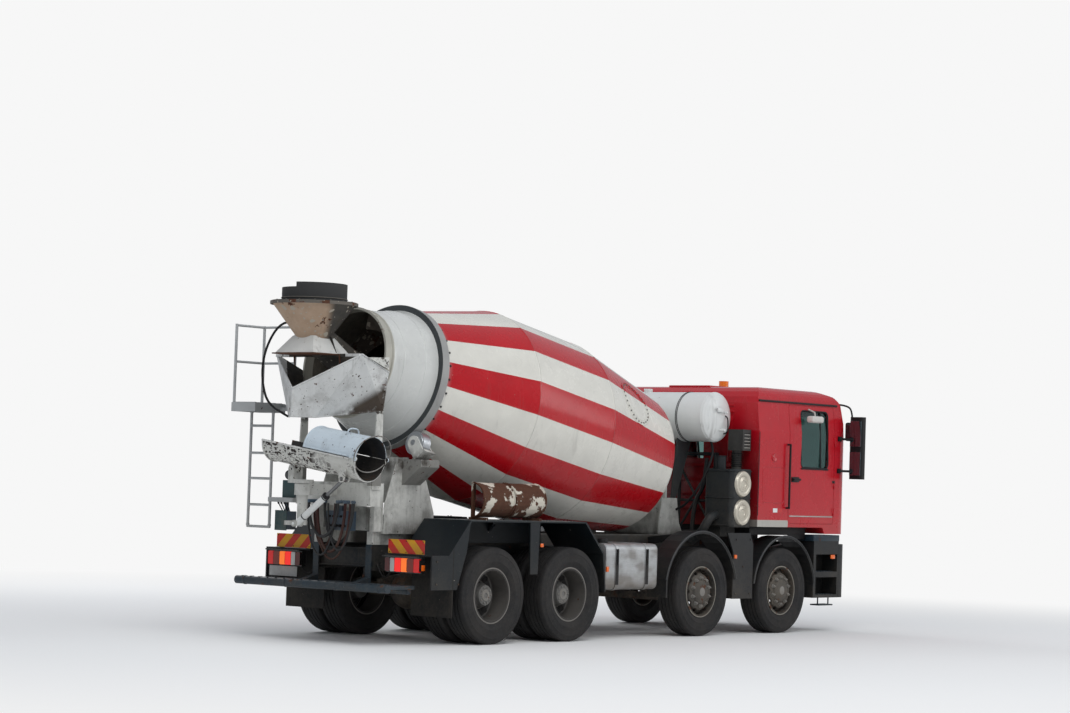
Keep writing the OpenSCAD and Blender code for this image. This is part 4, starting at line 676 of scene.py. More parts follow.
# Each finish: a screen colour or one of the truck's paints, its roughness, and what lies on it
SOOT, WARM_DUST, TYRE_DUST, RIM_DUST = (66, 60, 54), (112, 104, 96), (82, 76, 70), (84, 80, 76)
WHITE_TANK = dict(coat=0.3, dust=0.15, top=2.6, fade=1.0, streak=0.4, rusty=0.06, rust_scale=9.0, grain=0.08,
                  vary=0.05)
LENS = dict(coat=0.6, grain=0.0)
FINISHES = {
    "chassis paint": ("chassis_teal", 0.45, dict(
        dust=0.36, top=1.3, fade=0.9, streak=0.25, rusty=0.16, rust_scale=4.0, grain=0.25, vary=0.2)),
    "guard paint": ("chassis_teal", 0.42, dict(
        dust=0.16, top=1.3, fade=1.0, streak=0.15, splash=0.10, splash_scale=16.0, grain=0.2, vary=0.2,
        special=flap_paint)),
    "bin white": ("frame_white", 0.42, dict(
        dust=0.2, top=3.1, fade=0.9, streak=0.4, dust_colour=SOOT, rusty=0.06, rust_scale=7.0, grain=0.3,
        special=bin_paint)),
    "headlamp glass": ((206, 210, 214), 0.1, dict(
        metallic=0.3, dust=0.08, top=1.0, vary=0.03, special=headlamp_paint, **LENS)),
    "mixer white": ("frame_white", 0.42, dict(
        dust=0.35, top=1.9, fade=1.1, streak=0.55, dust_colour=SOOT, rusty=0.06, rust_scale=7.0, splash=0.08,
        splash_scale=14.0, grain=0.3, special=tower_paint)),
    "chute white": ("frame_white", 0.5, dict(
        dust=0.35, top=2.4, fade=1.2, streak=0.25, splash=0.10, splash_scale=9.0, rusty=0.10, rust_scale=6.0,
        grain=0.5, special=chute_paint)),
    "fold chute blue": ((196, 208, 216), 0.35, dict(
        dust=0.15, top=2.3, fade=0.8, streak=0.4, rusty=0.10, rust_scale=9.0, grain=0.3, special=fold_paint)),
    "feed hopper": ("frame_white", 0.7, dict(
        dust=0.15, splash=0.42, splash_scale=10.0, rusty=0.18, rust_scale=6.0, streak=0.5, grain=0.9,
        grain_scale=60.0, top=3.8, special=hopper_paint)),
    "drum paint": ("band_white", 0.2, dict(
        coat=0.2, dust=0.14, top=2.6, fade=2.2, streak=0.22, splash=0.05, splash_scale=20.0, grain=0.06,
        vary=0.07, dust_colour=WARM_DUST, special=drum_paint)),
    "blade steel": ((96, 88, 80), 0.7, dict(
        metallic=0.3, dust=0.0, splash=0.6, splash_scale=8.0, rusty=0.35, rust_scale=6.0, grain=0.9)),
    "cab red": ("cab_red", 0.2, dict(
        coat=0.3, dust=0.2, top=1.75, fade=0.6, streak=0.10, grain=0.04, vary=0.06, special=cab_paint)),
    "black plastic": ("plastic_black", 0.42, dict(
        dust=0.22, top=1.2, fade=0.9, streak=0.12, grain=0.6, grain_scale=420.0, vary=0.15)),
    "step metal": ((30, 46, 56), 0.38, dict(
        dust=0.22, top=1.2, fade=0.4, rusty=0.16, rust_scale=12.0, splash=0.16, splash_scale=30.0, grain=0.4,
        vary=0.25)),
    "cast iron": ((40, 40, 42), 0.6, dict(
        dust=0.6, top=1.2, fade=0.8, rusty=0.3, rust_scale=7.0, grain=1.0, grain_scale=90.0, vary=0.2)),
    "tank aluminium": ((190, 190, 190), 0.35, dict(
        metallic=0.55, dust=0.25, top=1.1, fade=0.7, streak=0.12, grain=0.1, special=tank_metal)),
    "tank white": ((216, 218, 216), 0.25, WHITE_TANK),
    "water tank white": ((216, 218, 216), 0.25, dict(WHITE_TANK, special=water_tank_paint)),
    "rubber": ((26, 27, 30), 0.6, dict(dust=0.3, top=3.9, fade=3.5, grain=0.5, vary=0.25)),
    "hose red": ((58, 20, 20), 0.55, dict(dust=0.3, top=1.6, fade=0.8, grain=0.5, vary=0.25)),
    "tyre rubber": ((34, 34, 35), 0.7, dict(
        dust=0.28, top=1.25, fade=0.3, dust_colour=TYRE_DUST, grain=0.6, vary=0.15, special=tyre_rubber)),
    "front rim": ((160, 156, 148), 0.6, dict(
        metallic=0.25, dust=0.3, top=1.1, fade=0.4, rusty=0.24, rust_scale=12.0, grain=0.6,
        special=front_rim_metal)),
    "rear rim": ((30, 30, 32), 0.5, dict(
        dust=0.3, top=1.1, fade=0.3, dust_colour=RIM_DUST, rusty=0.08, rust_scale=9.0, grain=0.5, vary=0.25,
        special=rear_rim_metal)),
    "hub grey": ((128, 126, 122), 0.6, dict(
        metallic=0.2, dust=0.35, top=1.1, fade=0.4, rusty=0.14, rust_scale=14.0, grain=0.7, vary=0.2)),
    "guard edge": ((58, 60, 62), 0.4, dict(dust=0.2, top=1.2, fade=0.5, grain=0.3)),
    "roller steel": ((172, 176, 180), 0.3, dict(
        metallic=0.75, dust=0.3, top=2.4, fade=0.6, splash=0.12, splash_scale=22.0, grain=0.2)),
    "rod steel": ((120, 122, 124), 0.25, dict(metallic=0.9, dust=0.2, top=2.2, fade=0.6, grain=0.1)),
    "lamp cells": ((160, 10, 12), 0.12, dict(
        coat=0.3, dust=0.04, top=1.2, fade=0.6, grain=0.0, vary=0.04, special=lens_paint)),
    "marker boards": ((222, 160, 20), 0.35, dict(
        dust=0.45, top=1.5, fade=0.9, streak=0.3, grain=0.2, grain_scale=500.0, special=board_paint)),
    "beacon amber": ((240, 110, 8), 0.15, dict(dust=0.05, vary=0.03, special=beacon_paint, **LENS)),
    "seat cloth": ((48, 50, 54), 0.85, dict(dust=0.0, grain=1.0, grain_scale=700.0, vary=0.2)),
    "rusty chute": ((206, 200, 186), 0.6, dict(
        dust=0.25, top=1.9, fade=0.8, rusty=0.62, rust_scale=4.2, splash=0.12, splash_scale=14.0, streak=0.4,
        grain=0.6)),
    "silencer": ((26, 32, 36), 0.5, dict(
        dust=0.25, top=2.2, fade=1.2, streak=0.3, rusty=0.12, grain=0.3, vary=0.2)),
    "louvre": ((40, 42, 44), 0.5, dict(dust=0.4, top=2.6, fade=1.0, grain=0.5, special=louvre_paint)),
    "pressed silver": ((196, 190, 176), 0.32, dict(
        metallic=0.55, dust=0.15, top=2.2, fade=1.0, rusty=0.1, rust_scale=12.0, grain=0.3)),
    "trim silver": ((176, 176, 172), 0.35, dict(metallic=0.4, dust=0.3, top=1.8, fade=0.6)),
    "seal black": ((16, 16, 18), 0.55, dict(dust=0.1, grain=0.2)),
    "amber lens": ((240, 104, 12), 0.12, dict(dust=0.1, **LENS)),
    "red lens": ((190, 14, 16), 0.12, dict(dust=0.15, **LENS)),
    "white lens": ((226, 228, 226), 0.12, dict(dust=0.15, vary=0.05, **LENS)),
    "lamp chrome": ((210, 212, 214), 0.12, dict(metallic=0.9, dust=0.05, grain=0.0, vary=0.05)),
    "mirror glass": ((112, 128, 134), 0.03, dict(metallic=0.95, dust=0.0, grain=0.0, vary=0.02)),
    "band steel": ((172, 170, 160), 0.45, dict(
        metallic=0.2, dust=0.2, top=3.4, fade=0.8, rusty=0.16, rust_scale=9.0, splash=0.2, splash_scale=16.0,
        grain=0.5)),
    "hopper rim": ((96, 92, 86), 0.7, dict(
        dust=0.3, top=3.8, rusty=0.3, rust_scale=8.0, splash=0.3, splash_scale=14.0, grain=0.8)),
    "duct white": ((206, 206, 202), 0.5, dict(
        dust=0.25, top=3.3, fade=1.0, streak=0.4, splash=0.2, splash_scale=18.0, grain=0.4)),
    "bare rust": ((84, 54, 38), 0.85, dict(
        dust=0.3, top=3.3, rusty=0.6, rust_scale=9.0, grain=1.0, grain_scale=90.0, vary=0.25)),
    "chute edge": ((208, 208, 204), 0.45, dict(
        dust=0.2, top=2.4, fade=0.8, rusty=0.2, rust_scale=12.0, splash=0.2, splash_scale=20.0, grain=0.4)),
    "galvanised": ((172, 174, 174), 0.45, dict(
        metallic=0.15, dust=0.25, top=2.6, fade=1.4, rusty=0.10, rust_scale=12.0, splash=0.12,
        splash_scale=24.0, grain=0.4, vary=0.15)),
    "cab paint": ("cab_red", 0.24, dict(
        coat=0.4, dust=0.2, top=2.2, fade=0.8, streak=0.12, grain=0.04, vary=0.06)),
    "mirror white": ((206, 202, 196), 0.4, dict(dust=0.2, top=3.0, streak=0.2, grain=0.1)),
    "guard top": ((96, 104, 106), 0.6, dict(
        dust=0.5, top=1.6, fade=0.5, splash=0.4, splash_scale=12.0, grain=0.6, vary=0.2)),
    "pale slats": ((156, 154, 148), 0.6, dict(dust=0.3, top=2.7, fade=0.6, grain=0.3)),
    "box teal": ((44, 74, 78), 0.5, dict(
        dust=0.4, top=2.0, fade=0.8, splash=0.12, splash_scale=20.0, rusty=0.12, grain=0.3)),
    "valve blue": ((84, 104, 122), 0.5, dict(dust=0.5, top=1.8, fade=0.8, rusty=0.14, grain=0.4, vary=0.2)),
}


def finish(name):
    """One of the truck's finishes, made when it is first asked for"""
    made = bpy.data.materials.get(name)
    if made:
        return made
    if name == "cab glass":
        return glass(name)
    colour, rough, layers = FINISHES[name]
    colour = getattr(paints(), colour) if isinstance(colour, str) else screen(*colour)
    return coated(name, colour, rough, **layers)


# Which solids get which finish
SOLIDS = {
    "chassis paint": "chassis_frame",
    "mixer white": "mixer_frame hopper_legs chute_carrier",
    "cast iron": "engine_block front_axles rear_axles drum_drive knuckle_1l knuckle_1r knuckle_2l knuckle_2r",
    "black plastic": "bumper front_guards middle_guards battery_box grille",
    "guard paint": "rear_guards",
    "tank aluminium": "fuel_tank",
    "water tank white": "water_tank",
    "silencer": "silencer",
    "louvre": "air_intake",
    "step metal": "rear_platform",
    "lamp cells": "tail_lamps",
    "marker boards": "marker_boards",
    "galvanised": "ladder",
    "feed hopper": "feed_hopper",
    "rubber": "hopper_collar",
    "bin white": "discharge_hopper",
    "headlamp glass": "headlamps",
    "rusty chute": "spare_chutes",
    "valve blue": "control_gear",
    "drum paint": "drum",
    "blade steel": "drum_flights mouth_flights",
    "roller steel": "roller_l roller_r",
    "chute white": "main_chute",
    "fold chute blue": "fold_chute",
    "tank white": "chute_barrel",
    "rod steel": "chute_rod",
    "cab red": "cab_body door_l door_r",
    "seat cloth": "cab_interior",
    "cab glass": "windscreen door_glass_l door_glass_r",
    "seal black": "cab_mirrors sun_visor",
    "beacon amber": "beacon",
}


# Making words
def set_at(place, degrees=0.0, axis="X"):
    """The matrix that turns a piece about an axis and takes it to its place"""
    return Matrix.Translation(place) @ Matrix.Rotation(radians(degrees), 4, axis)


def sweep(low, high, steps):
    """Angles at equal steps, from one number of degrees to another"""
    return [radians(low + (high - low) * i / steps) for i in range(steps + 1)]


def round_about(count, offset=0.0):
    """As many angles, evenly round a full turn"""
    return [2 * pi * (i + offset) / count for i in range(count)]


def deselect():
    if bpy.context.mode != "OBJECT":
        bpy.ops.object.mode_set(mode="OBJECT")
    bpy.ops.object.select_all(action="DESELECT")


def only(piece):
    deselect()
    piece.select_set(True)
    bpy.context.view_layer.objects.active = piece


def settle(piece):
    """Puts a piece's place into its mesh and applies its modifiers"""
    only(piece)
    bpy.ops.object.transform_apply(location=True, rotation=True, scale=True)
    for modifier in list(piece.modifiers):
        bpy.ops.object.modifier_apply(modifier=modifier.name)
    return piece


def bevelled(piece, width, segments=2):
    if width:
        modifier = piece.modifiers.new("Rounded edges", "BEVEL")
        modifier.width, modifier.segments, modifier.limit_method = width, segments, "ANGLE"
        modifier.angle_limit = radians(35)
    return settle(piece)


def block(corner, far_corner, round_edge=0.004, segments=2):
    """A box between two opposite corners"""
    low, high = (Vector(map(pick, corner, far_corner)) for pick in (min, max))
    deselect()
    bpy.ops.mesh.primitive_cube_add(size=1, location=(low + high) / 2, scale=high - low)
    return bevelled(settle(bpy.context.object), round_edge, segments)


def rod(start, end, radius, sides=16, round_edge=0.0, end_radius=None):
    start, end = Vector(start), Vector(end)
    way = end - start
    deselect()
    bpy.ops.mesh.primitive_cone_add(
        vertices=sides, radius1=radius, radius2=radius if end_radius is None else end_radius,
                                    depth=way.length,
        location=(start + end) / 2, rotation=way.to_track_quat("Z", "Y").to_euler())
    return bevelled(settle(bpy.context.object), round_edge)


def bolt(at, way, radius=None, height=0.009):
    way = Vector(way).normalized()
    return rod(Vector(at) - way * 0.001, Vector(at) + way * height, radius or sizes().bolt_r, 6, 0.0015)


def hoop(centre, way, radius, thick, steps=48, sides=10):
    deselect()
    bpy.ops.mesh.primitive_torus_add(
        location=centre, rotation=Vector(way).to_track_quat("Z", "Y").to_euler(),
        major_radius=radius, minor_radius=thick, major_segments=steps, minor_segments=sides)
    return settle(bpy.context.object)


def traced(outline):
    """A line of edges through the points, drawn by extruding one vertex"""
    deselect()
    bpy.ops.mesh.primitive_circle_add(vertices=3, radius=0.01)
    bpy.ops.object.mode_set(mode="EDIT")
    bpy.ops.mesh.select_all(action="SELECT")
    bpy.ops.mesh.merge(type="CENTER")
    at = Vector(outline[0])
    bpy.ops.transform.translate(value=at)
    for point in outline[1:]:
        point = Vector(point)
        bpy.ops.mesh.extrude_region_move(TRANSFORM_OT_translate={"value": point - at})
        at = point
    return bpy.context.object


def closed_up(piece):
    bpy.ops.mesh.select_all(action="SELECT")
    bpy.ops.mesh.normals_make_consistent(inside=False)
    bpy.ops.object.mode_set(mode="OBJECT")
    return piece


def turned(outline, steps=48):
    """A round piece about Z, spun from an outline of (radius, height)"""
    piece = traced([(r, 0, z) for r, z in outline])
    bpy.ops.mesh.select_all(action="SELECT")
    bpy.ops.mesh.spin(steps=steps, angle=2 * pi, center=(0, 0, 0), axis=(0, 0, 1))
    bpy.ops.mesh.select_all(action="SELECT")
    bpy.ops.mesh.remove_doubles(threshold=0.00005)
    return closed_up(piece)


def slab(outline, thickness, way):
    """A flat plate on an outline of points, drawn out along a way"""
    piece = traced(outline)
    bpy.ops.mesh.select_all(action="SELECT")
    bpy.ops.mesh.edge_face_add()
    bpy.ops.mesh.extrude_region_move(TRANSFORM_OT_translate={"value": Vector(way).normalized() * thickness})
    return closed_up(piece)


def tube(points, radius, kind, ring):
    """An open curve with thickness through the points, and its spline"""
    deselect()
    bpy.ops.curve.primitive_nurbs_path_add()
    piece = bpy.context.object
    curve = piece.data
    curve.splines.clear()
    spline = curve.splines.new(kind)
    spline.points.add(len(points) - 1)
    for slot, point in zip(spline.points, points):
        slot.co = (*point, 1)
    curve.dimensions = "3D"
    curve.bevel_depth, curve.bevel_resolution, curve.use_fill_caps = radius, ring, True
    piece.location = (0, 0, 0)
    return piece, spline


def pipe(points, radius, sides=12, smooth=4):
    """A bent pipe or cable along the points"""
    _, spline = tube(points, radius, "NURBS", max(1, sides // 4))
    spline.use_endpoint_u = True
    spline.order_u = 3
    spline.resolution_u = smooth
    bpy.ops.object.convert(target="MESH")
    return settle(bpy.context.object)


def round_frame(low, high, radius, thick, place, steps=5):
    """A closed pipe along a rounded rectangle; place turns its two measures into a point"""
    left, right, foot, head = low[0] + radius, high[0] - radius, low[1] + radius, high[1] - radius
    points = [place(across + radius * cos(turn), up + radius * sin(turn))
              for across, up, start in ((right, head, 0), (left, head, 90), (left, foot, 180),
                                        (right, foot, 270))
              for turn in sweep(start, start + 90, steps)]
    return pipe(points + points[:1], thick, 8, 3)


def joined(pieces):
    deselect()
    for piece in pieces:
        piece.select_set(True)
    bpy.context.view_layer.objects.active = pieces[0]
    if len(pieces) > 1:
        bpy.ops.object.join()
    return bpy.context.object


def moved(piece, matrix):
    only(piece)
    piece.matrix_world = matrix @ piece.matrix_world
    bpy.ops.object.transform_apply(location=True, rotation=True, scale=True)
    return piece


def copied(piece, matrix):
    only(piece)
    bpy.ops.object.duplicate(linked=False)
    return moved(bpy.context.object, matrix)


def done(name, pieces, look, body="truck", smooth=40):
    """Joins, names and finishes a piece, and fixes it to its body"""
    piece = joined(pieces if isinstance(pieces, list) else [pieces])
    piece.name = name
    piece.data.name = name
    bpy.ops.object.shade_smooth_by_angle(angle=radians(smooth))
    piece.data.materials.clear()
    piece.data.materials.append(finish(look))
    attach(piece, body)
    return piece


# The camera's place and turn, as solved from the photograph's wheels
CAMERA_AT = Vector((-24.627, -19.921, 1.770))
CAMERA_YAW, CAMERA_PITCH, CAMERA_ROLL = 0.6877, 0.0474, 0.0328
CAMERA_LENS = 89.59

# Area lamps: name, place, size and power; and the white that the camera sees beyond the floor
LAMPS = (("Sky lamp", (-7, -9, 13), 9, 900), ("Side lamp", (11, -13, 7), 7, 420),
         ("Back lamp", (4, 13, 9), 8, 500))
LAMP_AIM = Vector((0, 0, 1.6))
BACKDROP = (0.93, 0.93, 0.93)


class MIXER_OT_stage(bpy.types.Operator):
    """Sets the floor, the lamps and the camera"""
    bl_idname = "mixer.stage"
    bl_label = "Stage, lamps and camera"

    def execute(self, context):
        ahead = Vector((cos(CAMERA_YAW) * cos(CAMERA_PITCH), sin(CAMERA_YAW) * cos(CAMERA_PITCH),
                        sin(CAMERA_PITCH)))
        right = Vector((sin(CAMERA_YAW), -cos(CAMERA_YAW), 0))
        above = right.cross(ahead)
        across = cos(CAMERA_ROLL) * right + sin(CAMERA_ROLL) * above
        upright = -sin(CAMERA_ROLL) * right + cos(CAMERA_ROLL) * above
        bpy.ops.object.camera_add()
        camera = context.object
        camera.name = "Camera"
        turn = Matrix((across, upright, -ahead)).transposed().to_4x4()
        camera.matrix_world = Matrix.Translation(CAMERA_AT) @ turn
        camera.data.lens = CAMERA_LENS
        camera.data.sensor_width = 36
        camera.data.clip_end = 500
        context.scene.camera = camera
        context.scene.view_settings.view_transform = "Standard"

        deselect()
        bpy.ops.mesh.primitive_circle_add(vertices=96, radius=160, fill_type="NGON")
        floor = context.object
        floor.name = "Floor"
        material, shader, where = new_material("pale floor")
        for label, value in {"Base Color": (0.86, 0.86, 0.85), "Roughness": 0.9,
                             "Specular IOR Level": 0.1}.items():
            feed(value, shader.inputs[label])
        tree = where.tree
        flat = where * (1.0, 1.0, 0.0)
        away = Wire(node(tree, "VectorMath", {0: flat}, operation="LENGTH").outputs["Value"])
        light = named_wires(node(tree, "LightPath").outputs)
        seen = most(light["Is Camera Ray"], light["Is Glossy Ray"], light["Is Transmission Ray"])
        glow = node(tree, "Emission", {"Color": BACKDROP, "Strength": 1.0})
        blend = node(tree, "MixShader", {0: seen * away.span(6.5, 17.0), 1: shader.outputs[0],
                                         2: glow.outputs[0]})
        feed(blend.outputs[0], tree.nodes["Material Output"].inputs[0])
        floor.data.materials.append(material)

        world = context.scene.world or bpy.data.worlds.new("World")
        context.scene.world = world
        world.use_nodes = True
        tree = world.node_tree
        tree.nodes.clear()
        light = named_wires(node(tree, "LightPath").outputs)
        seen = most(light["Is Camera Ray"], light["Is Transmission Ray"])
        sky = Wire(node(tree, "TexCoord").outputs["Generated"])
        high = sky.parts()[2].span(-0.1, 0.9, 0.55, 1.0, smooth=False)
        tint = mix(high, (0.55, 0.56, 0.58), (0.86, 0.90, 0.97))
        plain = node(tree, "Background", {"Color": tint, "Strength": 0.62})
        shown = node(tree, "Background", {"Color": BACKDROP, "Strength": 1.0})
        both = node(tree, "MixShader", {0: seen, 1: plain.outputs[0], 2: shown.outputs[0]})
        out = node(tree, "OutputWorld")
        feed(both.outputs[0], out.inputs[0])

        for name, place, size, power in LAMPS:
            bpy.ops.object.light_add(type="AREA", location=place)
            lamp = context.object
            lamp.name = name
            lamp.data.size = size
            lamp.data.energy = power
            lamp.rotation_euler = (LAMP_AIM - Vector(place)).to_track_quat("-Z", "Y").to_euler()
        return {"FINISHED"}


# Hoses under the cross beam: where each starts and ends across, how deep it hangs and how far back, and the
# thinner ones after the first three; those of red rubber by their place in the row
HOSE_X, HOSE_TOP_Z = AXLE_4 - 1.310, 1.4797
WIDE_HOSES = ((-0.330, 0.090, 0.420, 0.000), (-0.250, 0.160, 0.520, 0.040), (-0.180, 0.250, 0.360, 0.080))
THIN_HOSES = ((-0.300, 0.200, 0.600, 0.018), (-0.130, 0.290, 0.560, 0.060), (-0.040, 0.270, 0.470, -0.022),
              (-0.370, -0.020, 0.500, 0.062))
THIN_HOSE_D, RED_HOSES = 0.022, (1, 3, 5)

# The hose that rinses the feed hopper, and the one that drains the water tank to the pump
RINSE_HOSE = ((AXLE_4 - 1.70, 0.312, 3.43), (AXLE_4 - 1.76, 0.44, 3.38), (AXLE_4 - 1.79, 0.56, 3.20),
              (AXLE_4 - 1.80, 0.63, 2.98), (AXLE_4 - 1.80, 0.62, 2.74), (AXLE_4 - 1.82, 0.50, 2.52),
              (AXLE_4 - 1.80, 0.215, 2.395))
DRAIN_HOSE = ((AXLE_4 + 4.57, -0.80, 2.348), (AXLE_4 + 4.57, -0.84, 2.22), (AXLE_4 + 4.50, -0.82, 2.02),
              (AXLE_4 + 4.43, -0.72, 1.76), (AXLE_4 + 4.40, -0.56, 1.56), (AXLE_4 + 4.40, -0.42, 1.50))
RINSE_HOSE_D, DRAIN_HOSE_D = 0.026, 0.032


def hang(x, start, end, top, drop, count=28):
    """The points of a loop that hangs between two elbows, as the part's source draws it"""
    return [Vector((x, start + (end - start) * (0.5 - 0.5 * cos(turn)), top - drop * sin(turn)))
            for turn in sweep(0, 180, count)]


def eased(points, rounds=2):
    """The points with their corners cut, so that a hose bends softly"""
    points = [Vector(point) for point in points]
    for _ in range(rounds):
        inner = [a.lerp(b, share) for a, b in zip(points, points[1:]) for share in (0.25, 0.75)]
        points = [points[0]] + inner + [points[-1]]
    return points


def lay_hose(name, points, wide, look):
    """A hose as one open curve, fixed to the truck"""
    hose, _ = tube(points, wide / 2, "POLY", 3)
    hose.name = name
    hose.data.materials.append(finish(look))
    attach(hose, "truck")
    length = sum((b - a).length for a, b in zip(points, points[1:]))
    return hose


class MIXER_OT_hoses(bpy.types.Operator):
    """Hangs the hydraulic hoses under the cross beam, the rinsing hose and the tank's drain hose"""
    bl_idname = "mixer.hoses"
    bl_label = "Hoses"

    def execute(self, context):
        for number, (start, end, drop, back) in enumerate(WIDE_HOSES + THIN_HOSES):
            wide = sizes().hose_d if number < len(WIDE_HOSES) else THIN_HOSE_D
            points = hang(HOSE_X - back, start, end, HOSE_TOP_Z, drop)
            look = "hose red" if number in RED_HOSES else "rubber"
            hose = lay_hose(f"hydraulic_hose_{number + 1}", points, wide, look)
            if number == 0:
                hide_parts("hydraulic_hoses")
        lay_hose("rinse_hose", eased(RINSE_HOSE), RINSE_HOSE_D, "seal black")
        lay_hose("tank_drain_hose", eased(DRAIN_HOSE), DRAIN_HOSE_D, "seal black")
        return {"FINISHED"}


class MIXER_OT_finishes(bpy.types.Operator):
    """Gives each solid its finish"""
    bl_idname = "mixer.finishes"
    bl_label = "Paint, metal and glass"

    def execute(self, context):
        for look, names in SOLIDS.items():
            for name in names.split():
                solid = frame["nodes"][name]
                solid.data.materials.clear()
                solid.data.materials.append(finish(look))
        return {"FINISHED"}


def tyre_outline():
    """Radius and place across of a tyre's outline, with grooves as deep as the tread"""
    side = [(0.292, 0.098), (0.300, 0.116), (0.316, 0.121), (0.330, 0.130), (0.360, 0.142), (0.372, 0.147),
            (0.376, 0.1455), (0.420, 0.1500), (0.452, 0.1490), (0.456, 0.1515), (0.464, 0.1510),
            (0.468, 0.1480),
            (0.498, 0.1440), (0.515, 0.1380), (0.5245, 0.1260), (TREAD_R - 0.002, 0.112)]
    deep = TREAD_R - sizes().tread_depth
    for groove in reversed(GROOVES):
        side += [(TREAD_R - 0.0012, groove + 0.0055), (deep, groove + 0.0035), (deep, groove - 0.0035),
                 (TREAD_R, groove - 0.0055)]
    return side + [(r, -y) for r, y in reversed(side)] + side[:1]


def make_tyre():
    """One tyre about Z, with ribs, side grooves and shoulder blocks"""
    tyre = turned(tyre_outline(), TYRE_STEPS)
    for face in tyre.data.polygons:
        centre = face.center
        radius, across = hypot(centre.x, centre.y), abs(centre.z)
        turn = Vector((centre.x, centre.y)).angle_signed(Vector((1, 0))) % (2 * pi)
        step = round(turn / (2 * pi / TYRE_STEPS) - 0.5)
        shoulder = radius > 0.507 and 0.0835 < across < 0.14 and step % 3 == 0
        rib = radius > TREAD_R - 0.004 and across < 0.07 and step % 4 == (0 if centre.z > 0 else 2)
        face.select = shoulder or rib
    only(tyre)
    bpy.ops.object.mode_set(mode="EDIT")
    bpy.ops.mesh.select_mode(type="FACE")
    bpy.ops.mesh.extrude_region_shrink_fatten(TRANSFORM_OT_shrink_fatten={"value": -sizes().tread_depth * 0.6})
    bpy.ops.object.mode_set(mode="OBJECT")
    return tyre


class MIXER_OT_tyres(bpy.types.Operator):
    """Makes the tyres, one to a front wheel and two to a rear one"""
    bl_idname = "mixer.tyres"
    bl_label = "Tyres with tread"

    def execute(self, context):
        first = make_tyre()
        for name, (x, track, side) in WHEELS.items():
            shifts = (0,) if track == FRONT_TRACK else (-TWIN_GAP / 2, TWIN_GAP / 2)
            tyres = [copied(first, set_at((x, side * (track + shift), TYRE_R), -90)) for shift in shifts]
            piece = done(f"tyre_{name}", tyres, "tyre rubber", f"wheel_{name}", 32)
            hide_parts(f"wheel_{name}")
        bpy.data.objects.remove(first)
        return {"FINISHED"}


def rim_of(name, x):
    """A copy of a wheel's solid without its tyres"""
    rim = bpy.data.objects.new(f"rim_{name}", frame["nodes"][f"wheel_{name}"].data.copy())
    bpy.context.scene.collection.objects.link(rim)
    only(rim)
    bpy.ops.object.mode_set(mode="EDIT")
    bpy.ops.mesh.select_mode(type="VERT")
    bpy.ops.mesh.select_all(action="SELECT")
    bpy.ops.mesh.remove_doubles(threshold=0.00005)
    bpy.ops.mesh.select_all(action="DESELECT")
    bpy.ops.object.mode_set(mode="OBJECT")
    for vertex in rim.data.vertices:
        vertex.select = hypot(vertex.co.x - x, vertex.co.z - TYRE_R) > 0.40
    bpy.ops.object.mode_set(mode="EDIT")
    bpy.ops.mesh.select_linked()
    bpy.ops.mesh.delete(type="VERT")
    bpy.ops.object.mode_set(mode="OBJECT")
    return rim


def rear_rim(axle):
    """The rims and the dished disc of a pair of wheels, spun about Z, with dark discs of painted shade where
    the hand holes are
    """
    lip, bead, inner, seat_r = 0.119, 0.110, 0.276, 0.2895
    rims = [moved(turned([(inner, -lip), (0.305, -lip), (0.308, -lip + 0.004), (0.305, -bead),
                          (seat_r, -bead),
                          (seat_r, bead), (0.305, bead), (0.308, lip - 0.004), (0.305, lip), (inner, lip),
                          (inner, -lip)], 80), set_at((0, 0, shift)))
            for shift in (-TWIN_GAP / 2, TWIN_GAP / 2)]
    rims.append(turned([(0.0, 0.196), (0.104, 0.196), (0.110, 0.192), (0.114, 0.180), (0.138, 0.124),
                        (0.143, 0.018),
                        (0.150, 0.014), (0.200, 0.014), (0.206, 0.016), (0.272, 0.060), (0.278, 0.064),
                        (0.278, 0.050), (0.220, 0.000), (0.150, -0.002), (0.120, -0.190), (0.0, -0.190)], 80))
    slope = atan((0.060 - 0.016) / (0.272 - 0.206))
    on_disc = Matrix.Translation((0.239, 0, 0.0385)) @ Matrix.Rotation(-slope, 4, "Y")
    hole_shades = []
    for turn in round_about(HAND_HOLES):
        hole_shade = turned([(0.0, 0.0005), (0.026, 0.0005), (0.030, 0.0035), (0.034, 0.0005), (0.034, -0.002)], 20)
        hole_shades.append(moved(hole_shade, Matrix.Rotation(turn, 4, "Z") @ on_disc))
    return [moved(rim, axle) for rim in rims], [moved(hole_shade, axle) for hole_shade in hole_shades]


